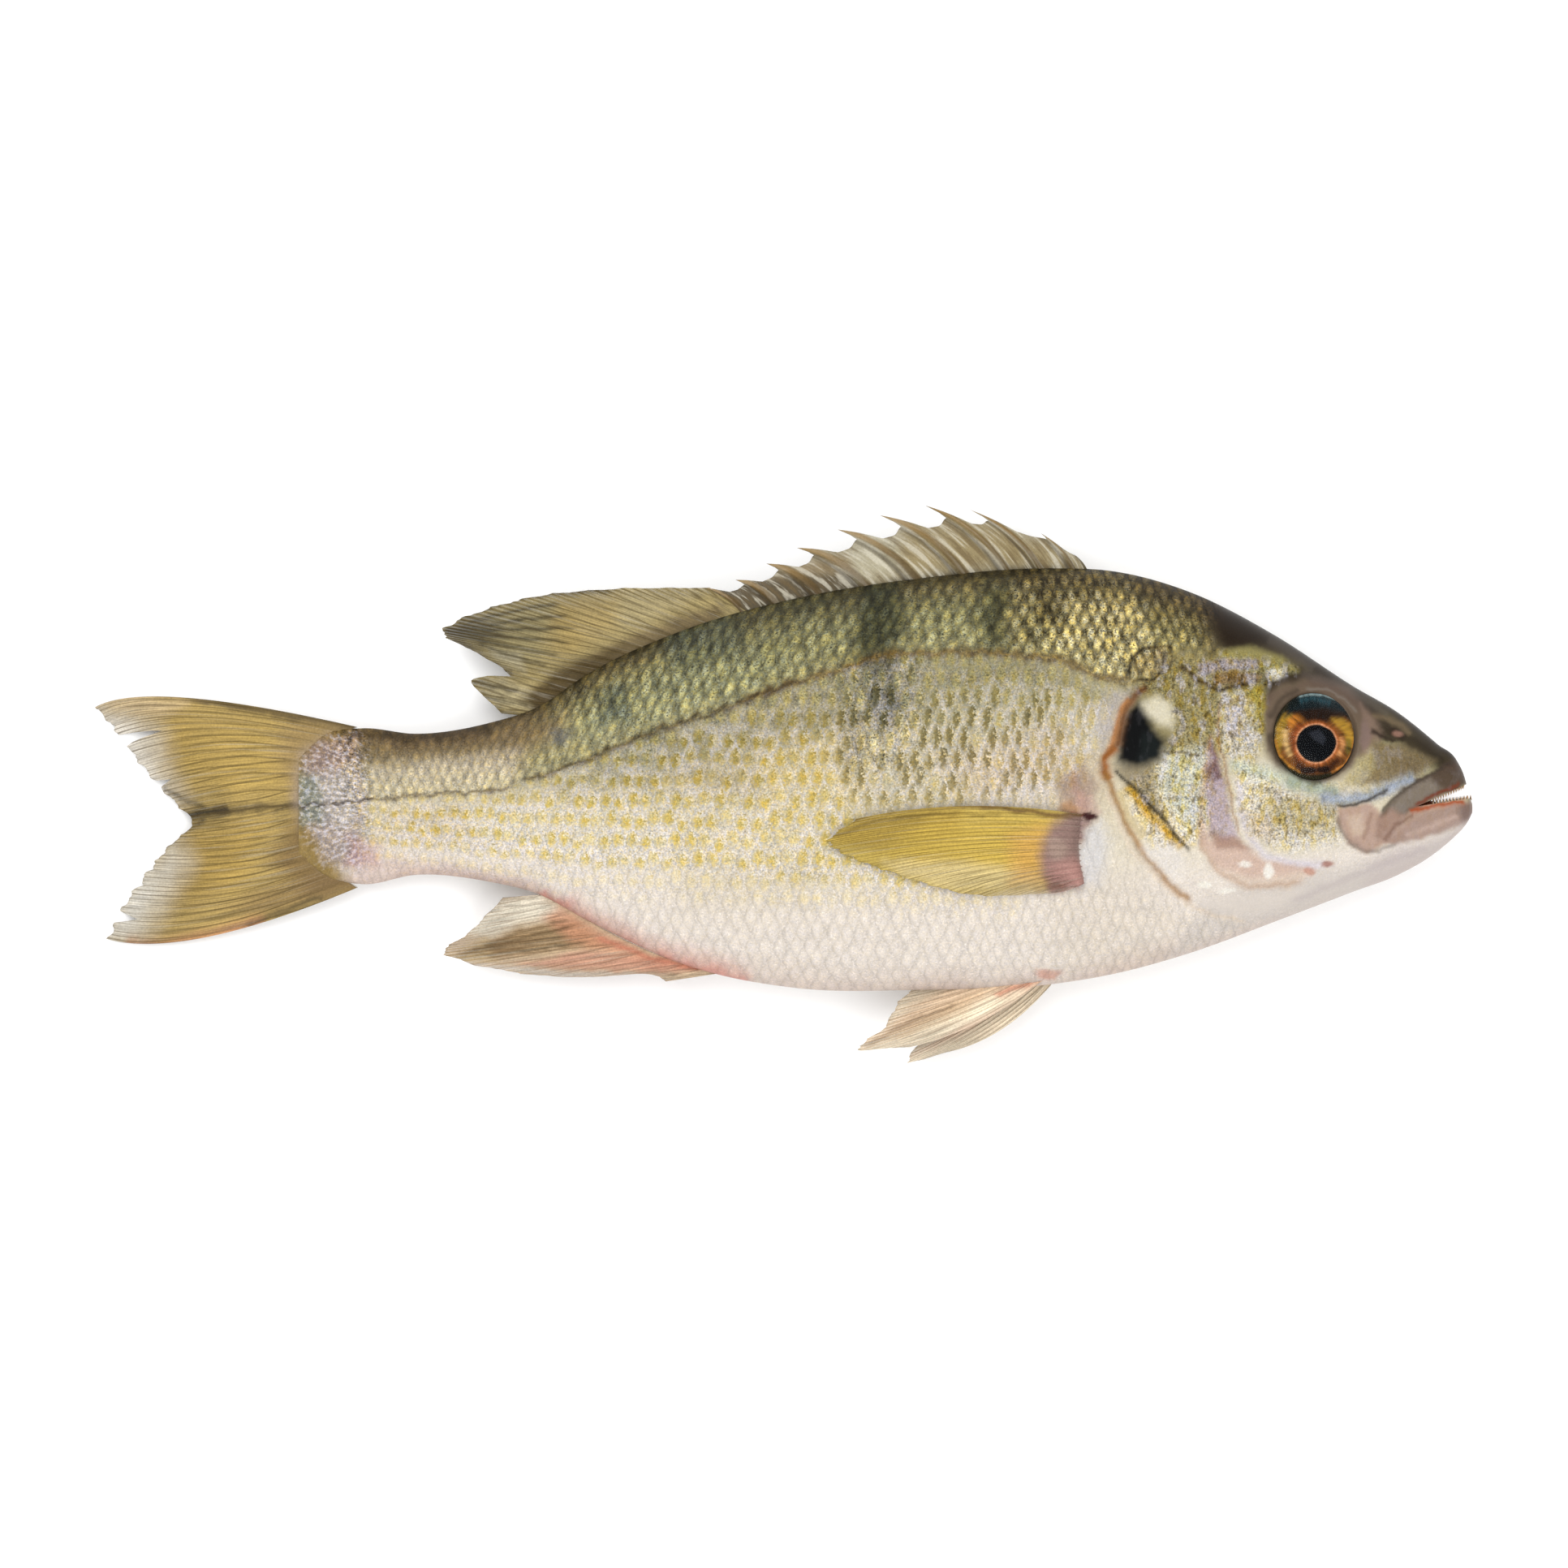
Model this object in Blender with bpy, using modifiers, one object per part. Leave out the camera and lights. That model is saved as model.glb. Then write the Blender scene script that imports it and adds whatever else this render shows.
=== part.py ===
"""A whole raw fish with yellow fins, lying on its left side.

Metres, +Z up. The head points along +X and the back along +Y, so the right flank faces up. The origin
is on the surface that the fish rests on, under the middle of its bounding box.

The fish is one piece of food, so the body, the eyes and all the fins are joined into one solid.
Sizes are written in millimetres: x runs forward from the middle of the fish, y runs up from its axis
towards the back, and a width is measured sideways from the plane of symmetry.
"""

import math

import bmesh
import bpy
import numpy as np

MM = 0.001

TOTAL_LENGTH = 280.0
REST_HEIGHT = 17.6  # of the plane of symmetry over the table; the flank is flattened below it

# The tail is limp: behind this point it sinks until the tip of its fin meets the table.
LIMP_FROM = 20.0
TAIL_DROP = 17.3
DROP_POWER = 1.3

# Stations of the body: x, height of the back, depth of the belly, half width.
STATIONS = np.array(
    (
        (-99.0, 5.5, -14.5, 0.8),
        (-94.0, 9.8, -18.6, 2.6),
        (-86.0, 11.2, -20.6, 4.4),
        (-75.0, 10.1, -18.7, 5.4),
        (-60.0, 12.3, -20.1, 6.8),
        (-50.0, 15.6, -22.6, 8.1),
        (-40.0, 22.2, -27.9, 9.8),
        (-20.0, 31.3, -37.0, 12.9),
        (2.0, 37.5, -41.6, 15.7),
        (28.0, 41.7, -42.0, 17.6),
        (55.0, 43.7, -40.8, 18.4),
        (67.0, 43.1, -38.8, 18.2),
        (83.0, 38.7, -34.4, 16.9),
        (100.0, 30.0, -28.1, 14.3),
        (116.0, 19.6, -22.0, 10.6),
        (125.0, 14.3, -18.6, 8.4),
        (133.0, 7.9, -13.8, 5.9),
        (137.0, 4.4, -10.3, 4.2),
        (138.4, 1.4, -8.8, 3.1),
        (139.4, -2.4, -7.3, 2.2),
        (140.0, -4.2, -6.0, 0.8),
    )
)
WIDEST_ABOVE_MIDDLE = 0.04  # of the depth
SECTION_POWER = 2.2
BACK_SHARPNESS = 0.62  # 0.5 is an ellipse, and more is a keel
BELLY_SHARPNESS = 0.52

# Sections of the body: closer together on the head, and closest at the root of the tail and on the snout.
HEAD_FROM = 62.0
HEAD_TO = 136.0
HEAD_STEP = 2.0
TRUNK_STEP = 6.5
TAIL_ROOT_SECTIONS = (0.0, 2.5)  # in front of the first station
TRUNK_FROM = 5.0  # in front of the first station
SNOUT_SECTIONS = (3.4, 2.2, 1.2, 0.45, 0.0)  # behind the tip of the snout
RING_POINTS = 40

EYE = (107.1, 9.4)
EYE_RADIUS = 10.6
EYE_BULGE = 1.8
EYE_DEPTH = 5.5
EYE_SEGMENTS = (22, 14)
SOCKET_RADIUS = 10.4
SOCKET_WIDTH = 1.8
SOCKET_RISE = 0.5

MOUTH_CORNER = (128.4, -4.7)
MOUTH_UPPER = (141.5, 1.0)
MOUTH_LOWER = (141.5, -2.8)
MOUTH_CUT_HALF_WIDTH = 15.0

# Lines on the head, as points (x, y).
GILL_EDGE = ((79.4, 22.6), (70.4, 14.0), (65.4, 4.1), (68.1, -3.3), (70.9, -10.7), (75.8, -17.3),
             (83.2, -23.1), (91.5, -26.9), (100.6, -27.6))
CHEEK_FOLD = ((87.4, 9.9), (86.5, 0.8), (87.4, -9.1), (90.7, -17.3), (98.1, -22.3), (108.0, -23.9))
JAW_FOLD = ((136.5, 4.6), (125.6, -1.2), (118.1, -3.3), (112.1, -4.8), (112.9, -9.9), (118.0, -14.0))
UPPER_LIP = ((137.4, 2.1), (129.4, -2.3), (121.2, -10.7))
LOWER_LIP = ((138.7, -5.2), (129.4, -8.0), (121.2, -13.4))
# Each line with the width and height of its ridge, or of its groove where the height is negative.
RIDGES = ((CHEEK_FOLD, 1.8, -0.7), (JAW_FOLD, 1.4, -0.55), (UPPER_LIP, 1.8, 0.7), (LOWER_LIP, 1.8, 0.6))
GILL_RISE, GILL_EDGE_WIDTH, GILL_FADE = 1.2, 0.9, 9.0  # of the gill cover's plate over the shoulder
GAP_DEPTH, GAP_PLACE, GAP_WIDTH = 0.6, 1.7, 1.5  # of the hollow behind its edge

# Spines of the front part of the back fin: x of the foot, then x and y of the tip.
SPINES = (
    (62.0, 58.8, 46.7),
    (59.3, 52.4, 50.8),
    (52.4, 38.0, 55.6),
    (45.8, 28.8, 56.5),
    (36.9, 19.6, 54.5),
    (27.1, 11.0, 51.6),
    (17.1, 2.7, 47.9),
    (7.3, -3.5, 44.7),
    (-1.4, -9.8, 41.4),
    (-8.3, -16.1, 39.8),
)
SPINE_FOOT_DEPTH = -0.12  # the spines start this share of their length inside the back
SPINE_FOOT_SINK = 0.8
SPINE_BEND = 0.17  # how far a spine bows forward, as a share of its length
# Share of the way to the next spine, and how far out the torn web still reaches there.
WEB_NOTCHES = ((0.12, 0.74), (0.5, 0.67), (0.8, 0.72))

# A fin has a number of rays, and rows of points along them. Its curves are points (share of the way across
# the fin, x, y): the rays' feet, the points they bend towards, and their tips.
SPINE_ROWS = 6
BACK_FIN = {
    "grid": (15, 6),
    "feet": ((0, -7.6, 35.0), (0.36, -24.8, 28.5), (0.6, -33.9, 24.2), (0.85, -43.5, 18.6), (1, -49.5, 13.5)),
    "tips": ((0, -15.2, 39.9), (0.18, -36.4, 39.7), (0.36, -53.7, 37.7), (0.6, -68.9, 30.8),
             (0.75, -62.8, 26.5), (0.85, -57.5, 22.6), (0.92, -63.9, 21.0), (1, -57.6, 14.2)),
}
BACK_FIN_TEARS = {24: 0.86}  # column, and how far out the web still reaches
VENT_FIN = {
    "grid": (10, 6),
    "feet": ((0, -12.5, -38.6), (0.3, -23.0, -35.6), (0.6, -34.5, -30.4), (0.8, -42.2, -26.0),
             (1, -47.9, -22.6)),
    "tips": ((0, -24.0, -40.4), (0.12, -28.0, -38.9), (0.25, -40.5, -39.6), (0.4, -53.7, -38.9),
             (0.6, -68.7, -35.0), (0.8, -64.4, -30.4), (1, -57.3, -23.3)),
}
TAIL_FIN = {
    "grid": (17, 8),
    "feet": ((0, -86.7, 11.4), (0.25, -95.8, 6.6), (0.5, -98.0, -4.1), (0.75, -95.8, -14.9), (1, -86.7, -21.2)),
    "bends": ((0, -131.0, 21.6), (0.25, -116.0, 9.9), (0.5, -109.8, -6.3), (0.75, -114.0, -20.5),
              (1, -123.0, -36.4)),
    "tips": ((0, -140.0, 15.4), (0.12, -136.4, 10.6), (0.25, -132.6, 4.2), (0.4, -125.8, -3.4),
             (0.5, -121.3, -8.0), (0.6, -125.4, -12.1), (0.75, -131.2, -18.6), (0.88, -135.2, -25.9),
             (1, -137.6, -31.8)),
}
TAIL_TEARS = {5: 0.86, 11: 0.93, 23: 0.93, 29: 0.9}
BREAST_FIN = {
    "grid": (11, 7),
    "feet": ((0, 63.5, -6.8), (1, 61.3, -20.0)),
    "bends": ((0, 36.4, -2.1), (0.5, 38.7, -13.2), (1, 56.8, -22.3)),
    "tips": ((0, 13.9, -7.4), (0.15, 8.2, -11.4), (0.35, 11.5, -14.6), (0.55, 22.2, -18.6),
             (0.8, 38.7, -22.8), (1, 53.5, -22.3)),
}
BREAST_FIN_LIFT = {1: (-1.6, 1.7), -1: (-1.6, -0.15)}  # off the flank at the foot and at the tip
BREAST_FIN_LIFTED = 0.4  # share of the ray at which it has its full lift
BELLY_FIN_UPPER = {
    "grid": (6, 6),
    "feet": ((0, 55.2, -37.8), (1, 53.2, -35.0)),
    "bends": ((0, 41.0, -50.5), (0.5, 38.5, -44.0), (1, 40.0, -38.9)),
    "tips": ((0, 25.3, -53.8), (0.25, 15.6, -54.1), (0.5, 19.7, -50.0), (0.75, 22.4, -45.2), (1, 25.8, -41.7)),
}
BELLY_FIN_LOWER = {
    "grid": (6, 6),
    "feet": ((0, 57.0, -37.8), (1, 55.0, -35.0)),
    "bends": ((0, 46.5, -52.0), (0.5, 42.5, -49.0), (1, 43.0, -43.0)),
    "tips": ((0, 33.4, -54.8), (0.5, 24.7, -56.5), (0.75, 28.0, -52.0), (1, 32.0, -47.0)),
}
BELLY_FIN_FOOT = 3.8  # of each belly fin's foot, out from the plane of symmetry
BELLY_FIN_DROP = 2.0  # of a belly fin towards the table
BELLY_FIN_FOLD = 2.2  # of both belly fins towards each other
BELLY_FIN_CURL = 3.0  # further drop of their tips
CLEARANCE = 0.05  # between a fin and the table

# Half thicknesses of the fins, at the foot and at the tip.
RAY_THICKNESS = (0.55, 0.28)
WEB_THICKNESS = (0.3, 0.2)
SPINE_THICKNESS = (0.75, 0.3)
FIN_SAG = 1.6  # how far an unsupported fin tip hangs below its foot
SAG_FROM, SAG_TO = -60.0, -100.0  # a fin sags in front of the first, and behind the second the table holds it
WEB_REACH = 0.985  # of the web between two rays, as a share of the rays' length
FOOT_DEPTH = -0.1  # the rays start this share of their length inside the body


def clear_scene():
    for scene_object in list(bpy.data.objects):
        bpy.data.objects.remove(scene_object)
    for collection in list(bpy.data.collections):
        bpy.data.collections.remove(collection)


def smooth_curve(where, knots, values):
    """The smooth curve through the values at the knots: a cubic whose slopes come from the neighbours."""
    slopes = np.gradient(values, knots)
    left = np.clip(np.searchsorted(knots, where) - 1, 0, len(knots) - 2)
    width = knots[left + 1] - knots[left]
    t = (where - knots[left]) / width
    return (
        values[left] * (1 + 2 * t) * (1 - t) ** 2
        + slopes[left] * width * t * (1 - t) ** 2
        + values[left + 1] * t**2 * (3 - 2 * t)
        + slopes[left + 1] * width * t**2 * (t - 1)
    )


def ramp(value, low, high):
    """0 below low, 1 above high, and a smooth step between them."""
    t = np.clip((value - low) / (high - low), 0.0, 1.0)
    return t * t * (3 - 2 * t)


def mid_plane(x):
    """Height over the table of the plane of symmetry, which the limp tail bends down."""
    behind = np.clip(LIMP_FROM - x, 0.0, None)
    return REST_HEIGHT - TAIL_DROP * (behind / (LIMP_FROM + TOTAL_LENGTH / 2)) ** DROP_POWER


def outline(x):
    """Back, widest level, belly and half width of the body at x."""
    knots = STATIONS[:, 0]
    back, belly, half_width = (smooth_curve(x, knots, STATIONS[:, column]) for column in (1, 2, 3))
    level = (back + belly) / 2 + WIDEST_ABOVE_MIDDLE * (back - belly)
    return back, level, belly, half_width


def fullness(height):
    """Share of the half width at a height from -1, the belly, to 1, the back."""
    power = np.where(height > 0, BACK_SHARPNESS, BELLY_SHARPNESS)
    return np.clip(1 - np.abs(height) ** SECTION_POWER, 0.0, 1.0) ** power


def flank(x, y):
    """Half width of the bare body at (x, y)."""
    back, level, belly, half_width = outline(x)
    height = np.where(y > level, (y - level) / (back - level), (y - level) / (level - belly))
    return half_width * fullness(np.clip(height, -1.0, 1.0))


def line_distance(x, y, points):
    """Distance to a line of points, positive on its left, and the share of the line at the nearest point."""
    points = np.array(points)
    best = np.full(x.shape, np.inf)
    signed = np.zeros(x.shape)
    along = np.zeros(x.shape)
    spans = len(points) - 1
    for index in range(spans):
        start, run = points[index], points[index + 1] - points[index]
        share = np.clip(((x - start[0]) * run[0] + (y - start[1]) * run[1]) / (run @ run), 0.0, 1.0)
        away_x, away_y = x - start[0] - share * run[0], y - start[1] - share * run[1]
        distance = np.hypot(away_x, away_y)
        nearer = distance < best
        best = np.where(nearer, distance, best)
        side = np.sign(run[0] * away_y - run[1] * away_x)
        signed = np.where(nearer, side * distance, signed)
        along = np.where(nearer, (index + share) / spans, along)
    return signed, along


def ridge(x, y, points, width, height):
    """A rounded ridge, or a groove where the height is negative, that fades out at both ends of its line."""
    distance, along = line_distance(x, y, points)
    return height * np.exp(-((distance / width) ** 2)) * ramp(along, -0.02, 0.1) * ramp(1.02 - along, 0.0, 0.12)


def gill_cover(x, y):
    """The bony gill cover stands over the shoulder behind its edge."""
    ahead, along = line_distance(x, y, GILL_EDGE)
    ends = ramp(along, 0.0, 0.1) * ramp(1 - along, 0.0, 0.15)
    edge = ramp(ahead, -GILL_EDGE_WIDTH, GILL_EDGE_WIDTH)
    plate = GILL_RISE * edge * np.exp(-np.clip(ahead, 0, None) / GILL_FADE)
    gap = GAP_DEPTH * np.exp(-(((ahead + GAP_PLACE) / GAP_WIDTH) ** 2))
    return ends * (plate - gap)


def eye_socket(x, y):
    """A ring of soft skin round the eye."""
    distance = np.hypot(x - EYE[0], y - EYE[1])
    return SOCKET_RISE * np.exp(-(((distance - SOCKET_RADIUS) / SOCKET_WIDTH) ** 2))


def relief(x, y):
    """How far the head's bones, lips and folds stand out of the plain body."""
    total = gill_cover(x, y) + eye_socket(x, y)
    for points, width, height in RIDGES:
        total = total + ridge(x, y, points, width, height)
    return total


def body_stations():
    """Places of the sections, from the root of the tail to the tip of the snout."""
    tail = STATIONS[0, 0]
    trunk = np.arange(tail + TRUNK_FROM, HEAD_FROM, TRUNK_STEP)
    head = np.arange(HEAD_FROM, HEAD_TO, HEAD_STEP)
    snout = TOTAL_LENGTH / 2 - np.array(SNOUT_SECTIONS)
    return np.concatenate((tail + np.array(TAIL_ROOT_SECTIONS), trunk, head, snout))


def ring(x):
    """One section of the body at x, as points in metres."""
    angle = np.arange(RING_POINTS) * 2 * math.pi / RING_POINTS
    height = np.sin(angle)
    back, level, belly, half_width = outline(np.full(RING_POINTS, x))
    y = level + height * np.where(height > 0, back - level, level - belly)
    sideways = np.sign(np.cos(angle)) * fullness(height)
    z = sideways * (half_width + relief(np.full(RING_POINTS, x), y) * np.abs(np.cos(angle)))
    z = np.maximum(z + mid_plane(x), 0.0)
    return np.column_stack((np.full(RING_POINTS, x), y, z)) * MM


def add_object(name, bm, collection):
    bmesh.ops.recalc_face_normals(bm, faces=bm.faces)
    mesh = bpy.data.meshes.new(name)
    bm.to_mesh(mesh)
    bm.free()
    made = bpy.data.objects.new(name, mesh)
    collection.objects.link(made)
    return made


def add_body(collection):
    """The body is a loft through its sections, closed at the jaw and at the root of the tail."""
    bm = bmesh.new()
    rings = [[bm.verts.new(point) for point in ring(x)] for x in body_stations()]
    for near, far in zip(rings, rings[1:]):
        for i in range(RING_POINTS):
            j = (i + 1) % RING_POINTS
            bm.faces.new((near[i], near[j], far[j], far[i]))
    bm.faces.new(rings[0])
    bm.faces.new(rings[-1])
    return add_object("body", bm, collection)


def add_eye(name, side, collection):
    """An eyeball sunk in its socket. The side is 1 for the right eye and -1 for the left."""
    centre_x, centre_y = EYE
    out = flank(np.array(centre_x), np.array(centre_y)) + EYE_BULGE - EYE_DEPTH
    bm = bmesh.new()
    around, up = EYE_SEGMENTS
    bmesh.ops.create_uvsphere(bm, u_segments=around, v_segments=up, radius=EYE_RADIUS * MM)
    eye = add_object(name, bm, collection)
    eye.scale.z = EYE_DEPTH / EYE_RADIUS
    eye.location = (centre_x * MM, centre_y * MM, (mid_plane(centre_x) + side * out) * MM)
    return eye


def add_mouth_cutter(collection):
    """The gap between the jaws, a flat wedge that runs right through the snout."""
    curve = bpy.data.curves.new("mouth_gap", "CURVE")
    curve.dimensions = "2D"
    curve.fill_mode = "BOTH"
    curve.extrude = MOUTH_CUT_HALF_WIDTH * MM
    spline = curve.splines.new("POLY")
    spline.points.add(2)
    for point, (x, y) in zip(spline.points, (MOUTH_CORNER, MOUTH_UPPER, MOUTH_LOWER)):
        point.co = (x * MM, y * MM, 0.0, 1.0)
    spline.use_cyclic_u = True
    drawn = bpy.data.objects.new("mouth_outline", curve)
    drawn.location.z = REST_HEIGHT * MM
    collection.objects.link(drawn)
    bpy.context.view_layer.update()
    mesh = bpy.data.meshes.new_from_object(drawn.evaluated_get(bpy.context.evaluated_depsgraph_get()))
    bm = bmesh.new()
    bm.from_mesh(mesh)
    bmesh.ops.remove_doubles(bm, verts=bm.verts, dist=0.00001)
    cutter = add_object("mouth_gap", bm, collection)
    cutter.matrix_world = drawn.matrix_world
    bpy.data.objects.remove(drawn)
    cutter.hide_render = True
    cutter.display_type = "WIRE"
    return cutter


def curve_points(points, shares):
    """Points of a smooth curve given as (share, x, y), at each of the shares."""
    table = np.array(points, float)
    return np.column_stack([smooth_curve(shares, table[:, 0], table[:, column]) for column in (1, 2)])


def add_sheet(name, middle, half_thickness, collection):
    """A sheet through a grid of points, rows along the rays and columns across, made solid by Solidify."""
    middle[..., 2] = np.maximum(middle[..., 2], half_thickness + CLEARANCE)
    rows, columns = half_thickness.shape
    bm = bmesh.new()
    bmesh.ops.create_grid(bm, x_segments=columns - 1, y_segments=rows - 1)
    for vertex, point in zip(bm.verts, middle.reshape(-1, 3)):
        vertex.co = point * MM
    sheet = add_object(name, bm, collection)
    group = sheet.vertex_groups.new(name="thickness")
    thickest = half_thickness.max()
    for index, share in enumerate(half_thickness.ravel() / thickest):
        group.add([index], share, "REPLACE")
    solid = sheet.modifiers.new("thickness", "SOLIDIFY")
    solid.thickness = 2 * thickest * MM
    solid.offset = 0.0
    solid.vertex_group = group.name
    return sheet


def fan(feet, bends, tips, first, row_count, reach):
    """Points (x, y) along curves from the feet to the tips, with the share of the way to the tip."""
    t = np.linspace(first, 1.0, row_count)[:, None] * reach[None, :]
    weights = ((1 - t) ** 2, 2 * t * (1 - t), t**2)
    points = sum(weight[..., None] * ends[None] for weight, ends in zip(weights, (feet, bends, tips)))
    return points, t


def sheet_thickness(column_is_ray, t, ray):
    """Half thickness of each grid point, thick along the rays and thin on the web between them."""
    along = np.clip(t, 0.0, 1.0)
    thick = ray[0] + (ray[1] - ray[0]) * along
    thin = WEB_THICKNESS[0] + (WEB_THICKNESS[1] - WEB_THICKNESS[0]) * along
    return np.where(column_is_ray, thick, thin)


def add_ray_fin(name, fin, height, collection, tears=None):
    """A soft fin. The height function gives the fin's middle surface from x, y and the share along the ray."""
    ray_count, row_count = fin["grid"]
    columns = np.arange(2 * ray_count - 1)
    shares = columns / columns[-1]
    feet, tips = curve_points(fin["feet"], shares), curve_points(fin["tips"], shares)
    bends = curve_points(fin["bends"], shares) if "bends" in fin else (feet + tips) / 2
    reach = np.where(columns % 2 == 1, WEB_REACH, 1.0)
    for column, share in (tears or {}).items():
        reach[column] = share
    points, t = fan(feet, bends, tips, FOOT_DEPTH, row_count, reach)
    middle = np.dstack((points, height(points[..., 0], points[..., 1], t)))
    return add_sheet(name, middle, sheet_thickness(columns % 2 == 0, t, RAY_THICKNESS), collection)


def hanging(x, y, t):
    """Middle surface of a fin on the plane of symmetry, which sags a little towards its tip."""
    return mid_plane(x) - FIN_SAG * np.clip(t, 0.0, 1.0) ** 2 * ramp(x, SAG_TO, SAG_FROM)


def add_spiny_fin(collection):
    """The front part of the back fin: sharp spines, with the web between two of them torn down to a notch."""
    columns = [(*spine, 1.0) for spine in SPINES[:1]]
    for near, far in zip(SPINES, SPINES[1:]):
        for share, depth in WEB_NOTCHES:
            columns.append((*(np.array(near) + share * (np.array(far) - near)), depth))
        columns.append((*far, 1.0))
    columns = np.array(columns)
    feet = np.column_stack((columns[:, 0], outline(columns[:, 0])[0] - SPINE_FOOT_SINK))
    tips, reach = columns[:, 1:3], columns[:, 3]
    bends = (feet + tips) / 2 + SPINE_BEND * (tips - feet)[:, ::-1] * (1, -1)
    points, t = fan(feet, bends, tips, SPINE_FOOT_DEPTH, SPINE_ROWS, reach)
    middle = np.dstack((points, hanging(points[..., 0], points[..., 1], t)))
    return add_sheet("back_fin_spines", middle, sheet_thickness(reach == 1.0, t, SPINE_THICKNESS), collection)


def breast_fin_height(side):
    """The breast fins lie back along the flanks: the upper one stands clear, the lower one is pressed in."""
    foot_lift, tip_lift = BREAST_FIN_LIFT[side]

    def height(x, y, t):
        lift = foot_lift + (tip_lift - foot_lift) * ramp(t, 0.0, BREAST_FIN_LIFTED)
        return mid_plane(x) + side * (flank(x, y) + lift)

    return height


def belly_fin_height(side):
    """The belly fins fold back below the fish, and hang down towards the table."""

    def height(x, y, t):
        along = np.clip(t, 0.0, 1.0)
        drop = BELLY_FIN_DROP + side * BELLY_FIN_FOLD + BELLY_FIN_CURL * along
        return mid_plane(x) + side * BELLY_FIN_FOOT - drop * along

    return height


def add_fins(collection):
    add_spiny_fin(collection)
    add_ray_fin("back_fin", BACK_FIN, hanging, collection, BACK_FIN_TEARS)
    add_ray_fin("vent_fin", VENT_FIN, hanging, collection)
    add_ray_fin("tail_fin", TAIL_FIN, hanging, collection, TAIL_TEARS)
    add_ray_fin("breast_fin_right", BREAST_FIN, breast_fin_height(1), collection)
    add_ray_fin("breast_fin_left", BREAST_FIN, breast_fin_height(-1), collection)
    add_ray_fin("belly_fin_right", BELLY_FIN_UPPER, belly_fin_height(1), collection)
    add_ray_fin("belly_fin_left", BELLY_FIN_LOWER, belly_fin_height(-1), collection)


def apply_modifiers(target):
    graph = bpy.context.evaluated_depsgraph_get()
    mesh = bpy.data.meshes.new_from_object(target.evaluated_get(graph))
    target.modifiers.clear()
    target.data = mesh


def join(target, pieces, cutter):
    """Joins the pieces to the target with one union, then cuts the gap between the jaws."""
    union = target.modifiers.new("joined_pieces", "BOOLEAN")
    union.operation = "UNION"
    union.operand_type = "COLLECTION"
    union.collection = pieces
    union.solver = "EXACT"
    cut = target.modifiers.new("mouth_gap", "BOOLEAN")
    cut.operation = "DIFFERENCE"
    cut.object = cutter
    cut.solver = "EXACT"
    bpy.context.view_layer.update()
    apply_modifiers(target)


def skin_material():
    material = bpy.data.materials.new("fish_skin")
    material.use_nodes = True
    surface = material.node_tree.nodes["Principled BSDF"]
    surface.inputs["Base Color"].default_value = (0.42, 0.37, 0.22, 1.0)
    surface.inputs["Roughness"].default_value = 0.32
    surface.inputs["Metallic"].default_value = 0.0
    return material


def new_collection(name):
    collection = bpy.data.collections.new(name)
    bpy.context.scene.collection.children.link(collection)
    return collection


def build_fish():
    clear_scene()
    whole = new_collection("whole_raw_fish")
    pieces = new_collection("joined_pieces")
    cutters = new_collection("cutters")
    fish = add_body(whole)
    fish.name = "fish"
    add_fins(pieces)
    add_eye("eye_right", 1, pieces)
    add_eye("eye_left", -1, pieces)
    join(fish, pieces, add_mouth_cutter(cutters))
    for used in list(pieces.objects) + list(cutters.objects):
        bpy.data.objects.remove(used)
    for emptied in (pieces, cutters):
        bpy.data.collections.remove(emptied)
    fish.data.materials.clear()
    fish.data.materials.append(skin_material())
    fish.data.shade_smooth()
    fish.data.set_sharp_from_angle(angle=math.radians(40))


build_fish()
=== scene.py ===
# %% [markdown]
# # A whole raw fish on a pale table
# The fish is a yellow-finned market fish, 28 cm long, that lies on its left flank. The CAD model gives its
# solid form: body, eyes, gill cover, mouth and fins in one piece. This lesson dresses that form. Each
# part of the fish becomes a fine mesh of its own, worked out by formulas, and each finish becomes a material
# made of nodes. First the frame is loaded, and its box is printed.

import functools
import math

import bmesh
import bpy
import numpy as np
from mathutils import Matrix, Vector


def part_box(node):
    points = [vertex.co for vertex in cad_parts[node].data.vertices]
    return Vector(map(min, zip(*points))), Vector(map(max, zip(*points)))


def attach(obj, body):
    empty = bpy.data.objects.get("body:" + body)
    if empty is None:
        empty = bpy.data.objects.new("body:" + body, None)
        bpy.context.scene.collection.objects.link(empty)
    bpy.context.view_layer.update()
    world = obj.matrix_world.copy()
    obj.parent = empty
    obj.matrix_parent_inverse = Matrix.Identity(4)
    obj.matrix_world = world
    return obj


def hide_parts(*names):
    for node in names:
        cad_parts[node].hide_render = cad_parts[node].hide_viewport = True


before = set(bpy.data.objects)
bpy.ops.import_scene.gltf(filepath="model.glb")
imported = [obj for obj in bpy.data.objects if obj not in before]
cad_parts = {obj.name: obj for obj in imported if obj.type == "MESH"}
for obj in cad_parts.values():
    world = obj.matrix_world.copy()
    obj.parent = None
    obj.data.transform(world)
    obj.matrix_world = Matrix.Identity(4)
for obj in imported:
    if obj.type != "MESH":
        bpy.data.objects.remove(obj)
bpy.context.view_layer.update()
MM = 0.001
cad_low, cad_high = (np.array(corner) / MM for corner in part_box("fish"))
print("CAD fish in mm, from", cad_low.round(1), "to", cad_high.round(1))

# %% [markdown]
# ## Camera and photo
# The fish was photographed from straight above. One pixel of the 1932-pixel photo is 0.165 mm on the fish's
# plane of symmetry. A long lens from far away shows the fish with almost no perspective, as the photo does.
# Colour marks are easiest to place where they are seen, so one function turns a point on the fish into the
# pixel that shows it, and all paint below is laid out in these pixels.

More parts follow.
